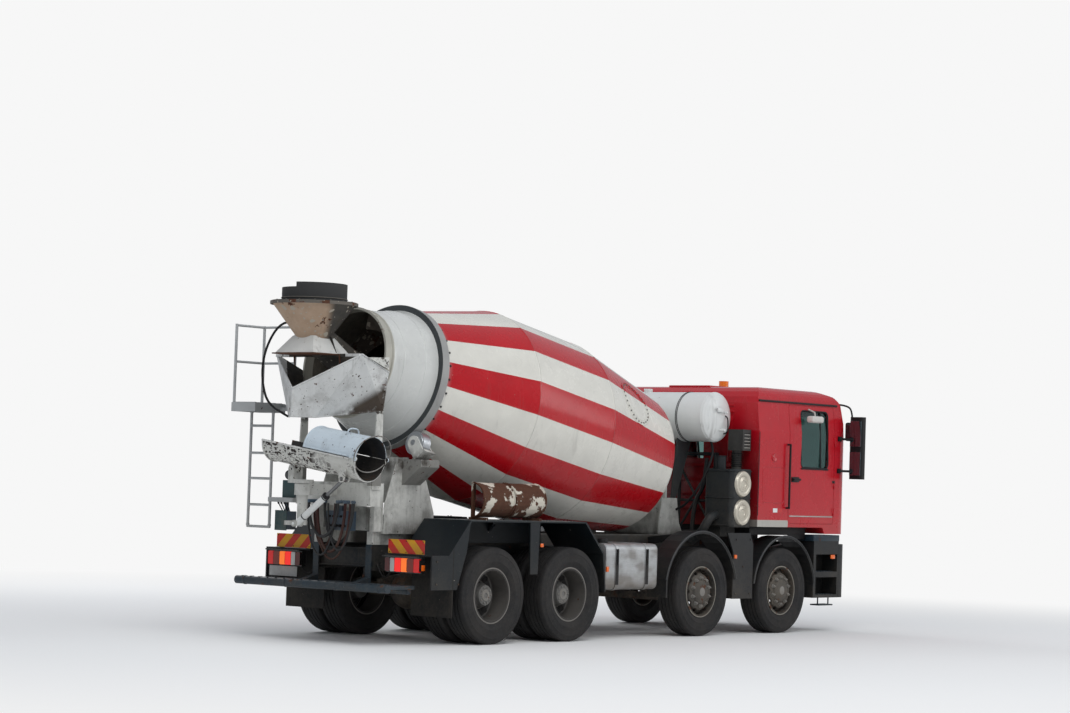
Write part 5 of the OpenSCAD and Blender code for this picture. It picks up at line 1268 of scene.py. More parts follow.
class MIXER_OT_rims(bpy.types.Operator):
    """Makes the rims, their nuts, the front hub rings and the rear hubs' bolts"""
    bl_idname = "mixer.rims"
    bl_label = "Rims and wheel nuts"

    def execute(self, context):
        for name, (x, track, side) in WHEELS.items():
            body, out = f"wheel_{name}", Vector((0, side, 0))

            def on_axle(across):
                return set_at((x, side * (track + across), TYRE_R), -90 * side)

            def on_circle(turn, radius, across):
                return Vector((x + radius * cos(turn), side * (track + across), TYRE_R + radius * sin(turn)))

            if track == FRONT_TRACK:
                done(f"rim_{name}", rim_of(name, x), "front rim", body, 34)
                cap = turned([(0.0, 0.004), (0.040, 0.004), (0.052, 0.0), (0.060, -0.004), (0.060, -0.02)],
                             24)
                hub = [moved(cap, on_axle(FRONT_HUB_FACE))]
                face = FRONT_NUT_FACE
            else:
                rims, hole_shades = rear_rim(on_axle(0))
                done(f"rim_{name}", rims, "rear rim", body, 34)
                # dark discs of painted shade stand where the hand holes open
                done(f"rim_holes_{name}", hole_shades, "seal black", body, 34)
                hub = [bolt(on_circle(turn, HUB_BOLT_CIRCLE, REAR_HUB_FACE), out, 0.009)
                       for turn in round_about(HUB_BOLTS)]
                ring = turned([(0.030, 0.0), (0.030, 0.006), (0.060, 0.006), (0.064, 0.002),
                               (0.064, -0.003)], 24)
                hub.append(moved(ring, on_axle(REAR_HUB_FACE)))
                face = REAR_NUT_FACE
            nuts = []
            for turn in round_about(NUTS, 0.5):
                foot = on_circle(turn, NUT_CIRCLE, face)
                nuts += [rod(foot - out * 0.002, foot + out * 0.006, 0.024, 14, 0.001),
                         rod(foot, foot + out * 0.028, sizes().nut_size, 6, 0.002),
                         rod(foot, foot + out * 0.042, 0.0105, 10, 0.002, 0.0085)]
            done(f"wheel_nuts_{name}", nuts + hub, "hub grey", body, 30)
        return {"FINISHED"}


def drum_wall(s):
    """Radius of the drum's shell at a station"""
    return min(cone_radius(s, *ends) for ends in zip(SHELL, SHELL[1:]))


def drum_point(s, turn, lift=0.0):
    """A point over the drum's shell: station, degrees from the top towards the right, and height over it"""
    radius = drum_wall(s) + lift
    return DRUM_FOOT + DRUM_ALONG * s + DRUM_UP * (radius * cos(radians(turn))) \
        + Vector((0, -radius * sin(radians(turn)), 0))


# The bolted cover on the drum's front cone: its middle, its reach along and its reach around in degrees
COVER_S, COVER_TURN, COVER_LONG, COVER_WIDE, COVER_BOLTS = 2.86, 60.0, 0.27, 14.0, 26
WELD_S = (-0.93, -0.66, RING_S + 0.085, BELLY_REAR_S, BELLY_FRONT_S)
RING_BOLTS, RING_BOLT_S = 32, RING_S + RING_W / 2 + 0.045


def on_cover(turn, grow, lift):
    """A point round the cover's edge, grown outwards and lifted off the shell"""
    return drum_point(COVER_S + (COVER_LONG + grow) * cos(turn),
                      COVER_TURN + (COVER_WIDE + grow * 55) * sin(turn), lift)


class MIXER_OT_drum(bpy.types.Operator):
    """Makes the drum's mouth band, weld beads and bolted cover"""
    bl_idname = "mixer.drum"
    bl_label = "Drum fittings"

    def execute(self, context):
        upright = Matrix((DRUM_UP, (0, -1, 0), DRUM_ALONG)).transposed().to_4x4()
        on_drum = Matrix.Translation(DRUM_FOOT) @ upright
        band = turned([(0.588, -1.075), (0.613, -1.077), (0.613, -1.092), (0.599, -1.100), (0.594, -1.186),
                       (0.607, -1.192), (0.607, -1.208), (0.582, -1.208), (0.582, -1.080), (0.588, -1.075)],
                      96)
        done("drum_mouth_band", moved(band, on_drum), "band steel", "drum")
        beads = []
        for s in WELD_S:
            low, high = drum_wall(s) - 0.004, drum_wall(s) + 0.0035
            bead = turned([(low, s - 0.012), (high, s - 0.005), (high, s + 0.005), (low, s + 0.012)], 96)
            beads.append(moved(bead, on_drum))
        done("drum_weld_beads", beads, "drum paint", "drum")

        edge = pipe([on_cover(turn, 0.030, 0.002) for turn in sweep(0, 360, 48)], 0.006, 8, 2)
        seam = pipe([on_cover(turn, -0.035, 0.001) for turn in sweep(0, 360, 48)], 0.004, 8, 2)
        done("drum_cover_edge", [edge, seam], "drum paint", "drum")
        bolts = []
        for turn in round_about(COVER_BOLTS):
            foot, head = on_cover(turn, 0.0, 0.0), on_cover(turn, 0.0, 0.03)
            bolts.append(bolt(foot, head - foot, 0.010, 0.011))
        done("drum_cover_bolts", bolts, "hub grey", "drum", 30)
        bolts = []
        for i in range(RING_BOLTS):
            turn = 360 * i / RING_BOLTS
            foot, head = drum_point(RING_BOLT_S, turn), drum_point(RING_BOLT_S, turn, 0.03)
            bolts.append(rod(foot, foot + (head - foot).normalized() * 0.010, 0.012, 6))
        done("drum_ring_bolts", bolts, "seal black", "drum", 30)
        return {"FINISHED"}


class MIXER_OT_hoppers(bpy.types.Operator):
    """Makes the hoppers' rims, the duct over the spout and stiffeners"""
    bl_idname = "mixer.hoppers"
    bl_label = "Hopper fittings"

    def execute(self, context):
        inner, outer, low, high = FUNNEL_R - 0.004, FUNNEL_R + 0.012, -0.030, 0.004
        rim = turned([(inner, low), (outer, low), (outer, high), (inner, high), (inner, low)], 72)
        rim = moved(rim, set_at((FUNNEL_X, 0, FUNNEL_TOP_Z)))
        clamp = hoop((FUNNEL_X, 0, FUNNEL_TOP_Z + 0.040), (0, 0, 1), 0.352, 0.006, 72, 8)
        bolts = [bolt((FUNNEL_X + 0.43 * cos(turn), 0.43 * sin(turn), FUNNEL_TOP_Z + 0.007), (0, 0, 1), 0.010)
                 for turn in round_about(16)]
        done("feed_hopper_rim", [rim, clamp] + bolts, "hopper rim")

        deselect()
        bpy.ops.mesh.primitive_cone_add(vertices=4, radius1=0.40, radius2=0.215, depth=0.19,
                                        location=(FUNNEL_X, 0, 3.165), rotation=(0, 0, radians(45)))
        done("feed_duct", settle(context.object), "duct white", smooth=20)
        lip = block((AXLE_4 - 1.985, -0.31, 3.058), (AXLE_4 - 1.61, 0.31, 3.072), 0.003)
        rear, front = AXLE_4 - 1.63, AXLE_4 - 1.60
        webs = [slab([(rear, y, 3.07), (front, y, 3.07), (front, y, 2.93)], 0.008, (0, 1, 0))
                for y in (-0.34, 0.33)]
        done("feed_duct_lip", [lip] + webs, "bare rust")

        edges = []
        for side in SIDES:
            tip, fore, heel, foot = (at * Vector((1, side, 1))
                                     for at in (BIN_TIP, BIN_FORE, BIN_HEEL, BIN_FOOT))
            edges += [rod(tip, fore, 0.009, 8), rod(BIN_HIGH, tip, 0.009, 8), rod(foot, heel, 0.008, 8),
                      rod(BIN_LOW, foot, 0.008, 8), rod(foot, tip, 0.005, 6)]
            edges += [bolt(fore.lerp(heel, share) + Vector((-0.03, side * 0.006, 0)), (0, side, 0), 0.012,
                           0.012)
                      for share in (0.15, 0.5, 0.85)]
        done("discharge_hopper_edges", edges, "bin white")
        gusset = [slab([(AXLE_4 - 1.50, -0.655, 3.04), (AXLE_4 - 1.17, -0.650, 2.925),
                        (AXLE_4 - 1.17, -0.650, 3.06)],
                       0.006, (0, 1, 0))]
        gusset += [bolt((AXLE_4 - back, -0.655, z), (0, -1, 0), 0.012)
                   for back, z in ((1.22, 3.02), (1.22, 2.97), (1.32, 3.0))]
        done("hopper_gusset", gusset, "mixer white", smooth=25)
        return {"FINISHED"}


def on_chute(pieces):
    """Pieces made along the level chute, turned to its slope and taken to the pin of its tilt"""
    return [moved(piece, CHUTE_FRAME) for piece in pieces]


def trough_edge(radius, y, low, high, thick, steps=18):
    return pipe([(radius * cos(turn), y, CHUTE_MID + radius * sin(turn)) for turn in sweep(low, high, steps)],
                thick, 8, 2)


def rolled_edges(start, end, up):
    """Rods along both edges of a trough"""
    return [rod((x, start, CHUTE_MID + up), (x, end, CHUTE_MID + up), 0.009, 10)
            for x in (-CHUTE_R - 0.005, CHUTE_R + 0.005)]


class MIXER_OT_chutes(bpy.types.Operator):
    """Makes the rolled edges and stiffeners of both chutes, the wire ring, handle and gland"""
    bl_idname = "mixer.chutes"
    bl_label = "Chute fittings"

    def execute(self, context):
        main = rolled_edges(CHUTE_END + 0.09, CHUTE_TOP - 0.005, -0.011)
        main += [trough_edge(CHUTE_R + 0.004, y, 183, 357, 0.008)
                 for y in (CHUTE_END + 0.012, CHUTE_TOP - 0.012)]
        main += [trough_edge(CHUTE_R + 0.003, y, 186, 354, 0.006) for y in (-0.52, -0.05)]
        done("main_chute_edges", on_chute(main), "chute edge", "chute")

        fold_top = CHUTE_END + FOLD_LEN
        fold = rolled_edges(CHUTE_END + 0.11, fold_top - 0.01, 0.018)
        fold += [trough_edge(CHUTE_R + 0.004, y, 4, 176, 0.009)
                 for y in (CHUTE_END + 0.012, fold_top - 0.014)]
        fold.append(trough_edge(CHUTE_R + 0.002, CHUTE_END + 0.10, 12, 168, 0.005))
        handle = ((-0.09, 0.21), (-0.085, 0.275), (0.0, 0.285), (0.085, 0.275), (0.09, 0.21))
        fold.append(pipe([(x, CHUTE_END + 0.30, CHUTE_MID + up) for x, up in handle], 0.008, 8, 4))
        done("fold_chute_edges", on_chute(fold), "fold chute blue", "chute_fold")

        ring = pipe([(0.27 * cos(turn), CHUTE_END - 0.015 - 0.05 * sin(turn),
                      CHUTE_MID + 0.06 + 0.20 * sin(turn))
                     for turn in sweep(0, 360, 32)], 0.0065, 8, 2)
        hook = rod((0, CHUTE_END + 0.01, CHUTE_MID + 0.236), (0, CHUTE_END - 0.064, CHUTE_MID + 0.262),
                   0.008, 8)
        done("chute_wire_ring", on_chute([ring, hook]), "hub grey", "chute_fold")

        foot, head = Vector((AXLE_4 - 1.900, -0.080, 1.260)), Vector((AXLE_4 - 1.900, -0.740, 1.745))
        gland = [rod(foot.lerp(head, low), foot.lerp(head, high), radius, 24, edge)
                 for low, high, radius, edge in
                 ((0.600, 0.634, 0.041, 0.002), (0.575, 0.590, 0.038, 0.001), (0.14, 0.155, 0.038, 0.001))]
        done("cylinder_gland", gland, "seal black", "chute_barrel")
        return {"FINISHED"}


LAMP_X, LAMP_Y, LAMP_Z = AXLE_4 - 1.350, 0.60, 1.770
LADDER_X = AXLE_4 - 1.32


class MIXER_OT_rear(bpy.types.Operator):
    """Makes the work lamp with its pipe, the boxes' lids, the levers and the frames round lamps and plate"""
    bl_idname = "mixer.rear"
    bl_label = "Rear fittings"

    def execute(self, context):
        lamp = turned([(0.0, -0.035), (0.030, -0.035), (0.046, -0.015), (0.050, 0.020), (0.046, 0.026),
                       (0.0, 0.028)], 28)
        lens = turned([(0.0, 0.030), (0.034, 0.029), (0.040, 0.024)], 28)
        on_lamp = set_at((LAMP_X, LAMP_Y, LAMP_Z), -90, "Y")
        done("work_lamp", moved(lamp, on_lamp), "seal black")
        done("work_lamp_glass", moved(lens, on_lamp), "guard edge")
        stay = pipe([(LAMP_X, LAMP_Y, 1.81), (LAMP_X, 0.595, 1.865), (LAMP_X, 0.555, 1.895),
                     (LAMP_X, 0.505, 1.86),
                     (LAMP_X, 0.495, 1.78), (LAMP_X + 0.07, 0.495, 1.69)], 0.020, 12, 6)
        done("work_lamp_pipe", stay, "duct white")

        wall = [block((AXLE_4 - 1.014, -0.485, 1.195), (AXLE_4 - 1.000, 0.230, 1.450), 0.003),
                block((AXLE_4 - 1.024, -0.485, 1.430), (AXLE_4 - 1.000, 0.230, 1.452), 0.003)]
        done("tower_rear_wall", wall, "mixer white")
        lids = [block((AXLE_4 - 1.278, 0.575, 1.510), (AXLE_4 - 1.268, 0.772, 1.712), 0.003),
                block((AXLE_4 - 1.278, 0.695, 1.160), (AXLE_4 - 1.268, 0.875, 1.380), 0.003)]
        done("control_lids", lids, "box teal")
        levers = []
        for i in range(4):
            y, x = 0.725 + 0.035 * i, AXLE_4 - 0.010 * i
            levers += [rod((AXLE_4 - 1.200, y, 1.365), (x - 1.240, y, 1.455), 0.006, 8),
                       rod((x - 1.238, y, 1.450), (x - 1.252, y, 1.480), 0.012, 10, 0.003)]
        for i in range(5):
            y = -0.16 + 0.055 * i
            levers += [rod((AXLE_4 - 1.250, y, 1.24), (AXLE_4 - 1.285, y, 1.24), 0.016, 6, 0.002),
                       rod((AXLE_4 - 1.250, y, 1.34), (AXLE_4 - 1.272, y, 1.34), 0.013, 6, 0.002)]
        done("valve_levers", levers, "seal black")

        frames, side_lamps = [], []
        for side in SIDES:
            frames += [bolt((AXLE_4 - 1.138, side * y, 0.9425), (-1, 0, 0), 0.006, 0.005)
                       for y in (0.636, 0.880, 1.124)]
            frames += [bolt((AXLE_4 - 1.005, side * y, z), (-1, 0, 0), 0.007, 0.004)
                       for y in (0.60, 0.84, 1.08) for z in (0.985, 1.105)]
            bracket = ((1.05, 0.66, 0.775), (1.05, 0.62, 0.70), (1.02, 0.50, 0.72), (1.01, 0.42, 0.86))
            frames.append(pipe([(AXLE_4 - back, side * y, z) for back, y, z in bracket], 0.009, 8, 5))
            side_lamps.append(block((AXLE_4 - 1.08, side * 1.1300, 0.80),
                                    (AXLE_4 - 1.03, side * 1.1375, 0.86), 0.002))
        (rear, right, low), (front, left, high) = (AXLE_4 - 1.0895, 0.682, 0.647), (AXLE_4 - 1.084, 1.128,
                                                                                    0.773)
        frames += [block((rear, right, low), (front, left, high - 0.118), 0.001),
                   block((rear, right, low + 0.118), (front, left, high), 0.001),
                   block((rear, right, low), (front, left - 0.438, high), 0.001),
                   block((rear, right + 0.438, low), (front, left, high), 0.001)]
        done("lamp_brackets", frames, "seal black", smooth=30)
        done("side_marker_lamps", side_lamps, "amber lens")

        grips = [block((AXLE_4 - 1.600, -1.026 + i * 0.128, 0.651),
                       (AXLE_4 - 1.540, -1.014 + i * 0.128, 0.659), 0.001, 1)
                 for i in range(17)]
        grips += [rod((AXLE_4 - 1.57, side * y, 0.61), (AXLE_4 - 1.57, side * (y + 0.03), 0.61), 0.049, 24,
                      0.002)
                  for side in SIDES for y in (0.36, 0.98)]
        done("step_bar_grips", grips, "step metal", smooth=25)
        chain = hoop((AXLE_4 - 1.03, -0.30, 0.70), (1, 0, 0.2), 0.045, 0.011, 28, 10)
        eye = block((AXLE_4 - 1.05, -0.335, 0.74), (AXLE_4 - 1.00, -0.265, 0.80), 0.006)
        done("towing_eye", [chain, eye], "cast iron")

        treads = [block((LADDER_X - 0.014, 0.925, z + 0.010), (LADDER_X + 0.014, 1.238, z + 0.016), 0.001, 1)
                  for z in (1.19, 1.43, 1.72, 2.00, 2.30)]
        treads += [rod((LADDER_X, y, z), (LADDER_X, y, z + 0.022), 0.020, 14, 0.001)
                   for z in (1.2, 2.44) for y in (0.915, 1.250)]
        treads += [block((AXLE_4 - back - 0.003, 0.905, 2.5495), (AXLE_4 - back + 0.003, 1.265, 2.556),
                         0.001, 1)
                   for back in (1.60, 1.50, 1.40, 1.30, 1.20)]
        done("ladder_treads", treads, "galvanised", smooth=25)
        return {"FINISHED"}


def cab_side(z):
    """How far out the cab's side wall lies at a height"""
    return CAB_Y if z < 2.5 else CAB_Y - 0.0451 * (z - 2.5) / 0.4388


def on_side(side, out):
    """Takes a place along and a height onto a side wall of the cab, this far out of it"""
    return lambda x, z: Vector((x, side * (cab_side(z) + out), z))


class MIXER_OT_doors(bpy.types.Operator):
    """Makes the doors' seals, handles, trims and kerb mirrors"""
    bl_idname = "mixer.doors"
    bl_label = "Door fittings"

    def execute(self, context):
        (rear, front), (low, high) = WINDOW_X, WINDOW_Z
        for name, side in (("r", RIGHT), ("l", LEFT)):
            body, y, hinge = f"door_{name}", side * CAB_Y, DOOR_X[0]
            strip, post = on_side(side, 0.002), on_side(side, -0.010)
            seals = [round_frame((rear, low), (front, high), 0.06, sizes().seal_w / 2, on_side(side, -0.004)),
                     rod(strip(rear, low - 0.012), strip(front, low - 0.012), 0.010, 8),
                     rod(post(front - 0.16, low), post(front - 0.16, high), 0.012, 8)]
            done(f"door_seal_{name}", seals, "seal black", body)
            bowl = block((hinge + 0.050, y, 1.885), (hinge + 0.220, y + side * 0.006, 1.950), 0.003)
            grip = block((hinge + 0.065, y + side * 0.022, 1.905), (hinge + 0.205, y + side * 0.036, 1.930),
                         0.006, 3)
            lock = rod((hinge + 0.25, y - side * 0.001, 1.918), (hinge + 0.25, y + side * 0.007, 1.918),
                       0.014, 20, 0.002)
            done(f"door_handle_{name}", [bowl, grip, lock], "seal black", body)
            trim = block((hinge + 0.02, y, 1.452), (DOOR_X[1] - 0.02, y + side * 0.008, 1.466), 0.002)
            done(f"door_trim_{name}", trim, "trim silver", body)
            mirror = [rod((3.62, side * 1.225, 2.810), (3.60, side * 1.330, 2.772), 0.010, 10),
                      rod((3.60, side * 1.330, 2.774), (3.60, side * 1.345, 2.690), 0.009, 10),
                      block((3.47, side * 1.345 - 0.055, 2.640), (3.73, side * 1.345 + 0.055, 2.725), 0.03,
                            4)]
            look = "mirror white" if side == RIGHT else "seal black"
            done(f"kerb_mirror_{name}", mirror, look, body)
        return {"FINISHED"}


def on_screen(y, z, lift=0.0):
    """A point on the sloping windscreen, lifted forwards off it"""
    return Vector((NOSE - 0.018 - 0.180 * (z - 1.960) / 0.940 + lift, y, z))


# Front mirrors: how far back their glass is, how far out and up, and half its width
MIRROR_GLASS = ((0.089, 1.29, 2.465, 2.655, 0.070), (0.134, 1.40, 2.37, 2.70, 0.082),
                (0.134, 1.40, 2.00, 2.30, 0.082))
APRON_Y, RAIL_OUT = 1.10, 0.045


class MIXER_OT_cab(bpy.types.Operator):
    """Makes the cab's seals, wipers, drip strips, rear ribs, aprons, flaps, reflectors, rails and mirrors"""
    bl_idname = "mixer.cab"
    bl_label = "Cab fittings"

    def execute(self, context):
        seal = round_frame((-1.11, 1.98), (1.11, 2.83), 0.08, sizes().seal_w / 2 + 0.002, on_screen)
        done("windscreen_seal", seal, "seal black", "cab")
        wipers = []
        for y in (-0.62, 0.06, 0.72):
            pivot = on_screen(y, 1.95, 0.022)
            wipers += [rod(pivot, on_screen(y - 0.46, 2.09, 0.020), 0.010, 8, 0.0, 0.006),
                       rod(on_screen(y - 0.40, 1.99, 0.010), on_screen(y - 0.52, 2.42, 0.010), 0.008, 6),
                       rod(pivot - Vector((0.03, 0, 0)), pivot + Vector((0.008, 0, 0)), 0.020, 16, 0.003)]
        done("wipers", wipers, "seal black", "cab")

        strips, out = [], cab_side(2.88) + 0.001
        for side in SIDES:
            x, y = CAB_BACK + 0.012, side * (CAB_Y - 0.006)
            strips += [block((CAB_BACK + 0.02, side * out, 2.868),
                             (DOOR_X[1] + 0.08, side * (out + 0.014), 2.892), 0.003),
                       rod((x, y, 1.46), (x, y, 2.49), 0.010, 8)]
        done("drip_strips", strips, "seal black", "cab")

        rear, front = CAB_BACK - 0.010, CAB_BACK + 0.004
        panels = [block((rear - 0.002, -0.98, z), (front, 0.98, z + 0.055), 0.005)
                  for z in (1.50, 1.68, 1.86, 2.04)]
        panels += [block((rear, -0.85, z), (front, 0.85, z + 0.035), 0.005) for z in (2.72, 2.80)]
        panels += [block((rear, side * 0.80 - 0.03, 2.12), (front, side * 0.80 + 0.03, 2.68), 0.005)
                   for side in SIDES]
        panels.append(block((2.72, -0.32, 3.046), (3.30, 0.32, 3.072), 0.012, 3))
        done("cab_ribs", panels, "cab red", "cab")
        aprons = []
        for low, high, half in (((CAB_BACK + 0.03, 1.217), (3.78, 1.330), 0.012),
                                ((3.42, 1.165), (3.79, 1.325), 0.011)):
            aprons += [block((low[0], side * APRON_Y - half, low[1]),
                             (high[0], side * APRON_Y + half, high[1]), 0.003)
                       for side in SIDES]
        aprons.append(block((CAB_BACK + 0.03, -1.088, 1.226), (CAB_BACK + 0.05, 1.088, 1.330), 0.003))
        done("cab_aprons", aprons, "seal black", "cab")

        flaps, lamps, rails, marks = [], [], [], []
        for side in SIDES:
            y, rail_x, rail_y = side * CAB_Y, DOOR_X[0] - 0.05, side * (CAB_Y + RAIL_OUT)
            disc = turned([(0.0, 0.006), (0.034, 0.006), (0.040, 0.010), (0.048, 0.010), (0.052, 0.004),
                           (0.052, -0.004)], 28)
            flaps.append(moved(disc, set_at((2.86, y, 2.18), -90 * side)))
            flaps.append(round_frame((2.62, 1.62), (3.10, 2.06), 0.05, 0.004, lambda x, z: Vector((x, y, z))))
            flaps.append(round_frame((DOOR_X[0] - 0.004, DOOR_Z[0] - 0.004),
                                     (DOOR_X[1] + 0.004, DOOR_Z[1] + 0.004),
                                     0.04, 0.0035, on_side(side, -0.004)))
            marks.append(block((2.86, y, 1.500), (2.955, y + side * 0.004, 1.552), 0.001, 1))
            lamps.append(block((2.96, y, 1.500), (3.055, y + side * 0.004, 1.552), 0.001, 1))
            rails.append(rod((rail_x, rail_y, 1.55), (rail_x, rail_y, 2.36), 0.013, 12))
            rails += [rod((rail_x, y - side * 0.002, z), (rail_x, rail_y, z), 0.011, 12)
                      for z in (1.56, 2.35)]
        done("cab_flaps", flaps, "cab paint", "cab")
        done("cab_side_reflectors", marks, "white lens", "cab")
        done("cab_side_lamps", lamps, "red lens", "cab")
        done("grab_rails", rails, "seal black", "cab")

        arms, glasses = [], []
        for side in SIDES:
            way = ((0.24, 1.16, 2.905), (0.12, 1.26, 2.90), (0.045, 1.29, 2.82), (0.040, 1.29, 2.66))
            arms.append(pipe([(NOSE - back, side * y, z) for back, y, z in way], 0.012, 10, 5))
            arms.append(block((NOSE - 0.085, side * 1.29 - 0.09, 2.44),
                              (NOSE - 0.015, side * 1.29 + 0.09, 2.68), 0.028, 4))
            glasses += [block((NOSE - back, side * y - half, low),
                              (NOSE - back + 0.005, side * y + half, high), 0.001, 1)
                        for back, y, low, high, half in MIRROR_GLASS]
        done("front_mirrors", arms, "seal black", "cab")
        done("mirror_glass", glasses, "mirror glass", "cab")
        return {"FINISHED"}


# Edges of the front guards: the middle and radius of each arc, and where it starts and ends in degrees
GUARD_ARCS = ((AXLE_1 + 0.020, 0.680, 8, 172), (AXLE_2 - 0.050, 0.728, 12, 168))

# Amber marker lamps on the sides: rear and front, how far out each starts and ends, foot and head, rounding
SIDE_LAMPS = ((4.20, 4.29, 1.234, 1.248, 0.925, 0.975, 0.004),
              (2.075, 2.125, 1.224, 1.236, 0.930, 0.975, 0.003),
              (-1.68, -1.63, 1.234, 1.244, 1.06, 1.10, 0.003))


class MIXER_OT_front(bpy.types.Operator):
    """Makes the bumper's grilles and lamps, the steps' treads, and the guards' edges, bolts and lamps"""
    bl_idname = "mixer.front"
    bl_label = "Bumper, steps and guards"

    def execute(self, context):
        slats = [block((NOSE - 0.004, -0.50, z), (NOSE + 0.006, 0.50, z + 0.018), 0.003)
                 for z in (0.52, 0.565, 0.61, 0.92, 0.965, 1.01)]
        slats.append(block((NOSE - 0.004, -0.27, 0.70), (NOSE + 0.004, 0.27, 0.83), 0.002))
        lamps = []
        for side in SIDES:
            ring = turned([(0.0, 0.004), (0.050, 0.004), (0.058, 0.010), (0.068, 0.010), (0.072, 0.0),
                           (0.072, -0.01)], 32)
            lamps.append(moved(ring, set_at((NOSE, side * 0.78, 0.53), 90, "Y")))
            for across in (-HEADLAMP_HALF / 2, HEADLAMP_HALF / 2):
                bezel = turned([(0.066, 0.0), (0.068, 0.006), (0.074, 0.008), (0.079, 0.004),
                                (0.080, -0.004)], 36)
                lamps.append(moved(bezel, set_at((NOSE - 0.011, side * (HEADLAMP_Y + across), HEADLAMP_Z),
                                                 90, "Y")))
            slats.append(round_frame((HEADLAMP_Y - 0.164, HEADLAMP_Z - 0.084),
                                     (HEADLAMP_Y + 0.164, HEADLAMP_Z + 0.084),
                                     0.02, 0.006, lambda y, z: Vector((NOSE - 0.009, side * y, z))))
        done("bumper_slats", slats, "seal black")
        done("fog_lamps", lamps, "lamp chrome")

        edges, treads, amber = [], [], []
        for side in SIDES:
            for middle, radius, low, high in GUARD_ARCS:
                edges.append(pipe([(middle + radius * cos(turn), side * 1.236, TYRE_R + radius * sin(turn))
                                   for turn in sweep(low, high, 28)], 0.008, 10, 2))
            for z in (0.470, 0.760):
                for i in range(7):
                    x = AXLE_1 + 0.735 + i * 0.060
                    treads.append(block((x, side * 1.03, z - 0.002), (x + 0.022, side * 1.23, z + 0.008),
                                        0.002, 1))
            treads += [rod((x, side * 1.19, 0.435), (x, side * 1.19, 0.345), 0.009, 8) for x in (4.00, 4.24)]
            treads.append(block((3.96, side * 1.10, 0.330), (4.28, side * 1.238, 0.348), 0.004))
            treads.append(block((3.80, side * 0.97, 1.148), (4.40, side * 1.235, 1.226), 0.004))
            amber += [block((rear, side * near, low), (front, side * far, high), edge)
                      for rear, front, near, far, low, high, edge in SIDE_LAMPS]
        done("guard_edges", edges, "guard edge")
        done("step_treads", treads, "step metal", smooth=25)
        done("marker_lamps", amber, "amber lens")

        bolts, tops = [], []
        for side in SIDES:
            out = (0, side, 0)
            bolts += [bolt((x, side * y, 1.345), (0, 0, 1))
                      for x in (-2.57, -2.52, -1.80, -1.75, -0.975, -0.925) for y in (0.75, 1.10)]
            bolts += [bolt((AXLE_4 - 0.690, side * y, 1.01), (-1, 0, 0)) for y in (0.70, 0.90, 1.10, 1.20)]
            bolts += [bolt((x, side * 1.225, z), out)
                      for x, z in ((2.12, 0.50), (2.42, 0.50), (2.12, 1.16), (2.42, 1.16), (2.27, 0.83))]
            bolts += [bolt((AXLE_4 - back, side * 1.235, z), out)
                      for back, z in ((0.95, 0.66), (0.95, 0.90), (0.60, 0.66))]
            bolts += [bolt((x / 100, side * 0.430, z), out, 0.012)
                      for x in range(-340, 420, 38) for z in (0.84, 0.98) if not -60 < x < 70]
            tops.append(block((-2.86, side * 0.60, 1.3445), (-0.90, side * 1.22, 1.3475), 0.001, 1))
        done("chassis_bolts", bolts, "cast iron", smooth=30)
        done("guard_tops", tops, "guard top")
        return {"FINISHED"}


# Along the truck: the silencer's two ends, the air intake, the rack behind the cab and the battery box
SILENCER_X = (AXLE_4 + 4.500, AXLE_4 + 4.930)
INTAKE_X, RACK_X, BATTERY_X = AXLE_4 + 4.860, CAB_BACK - 0.16, AXLE_3 + 0.660


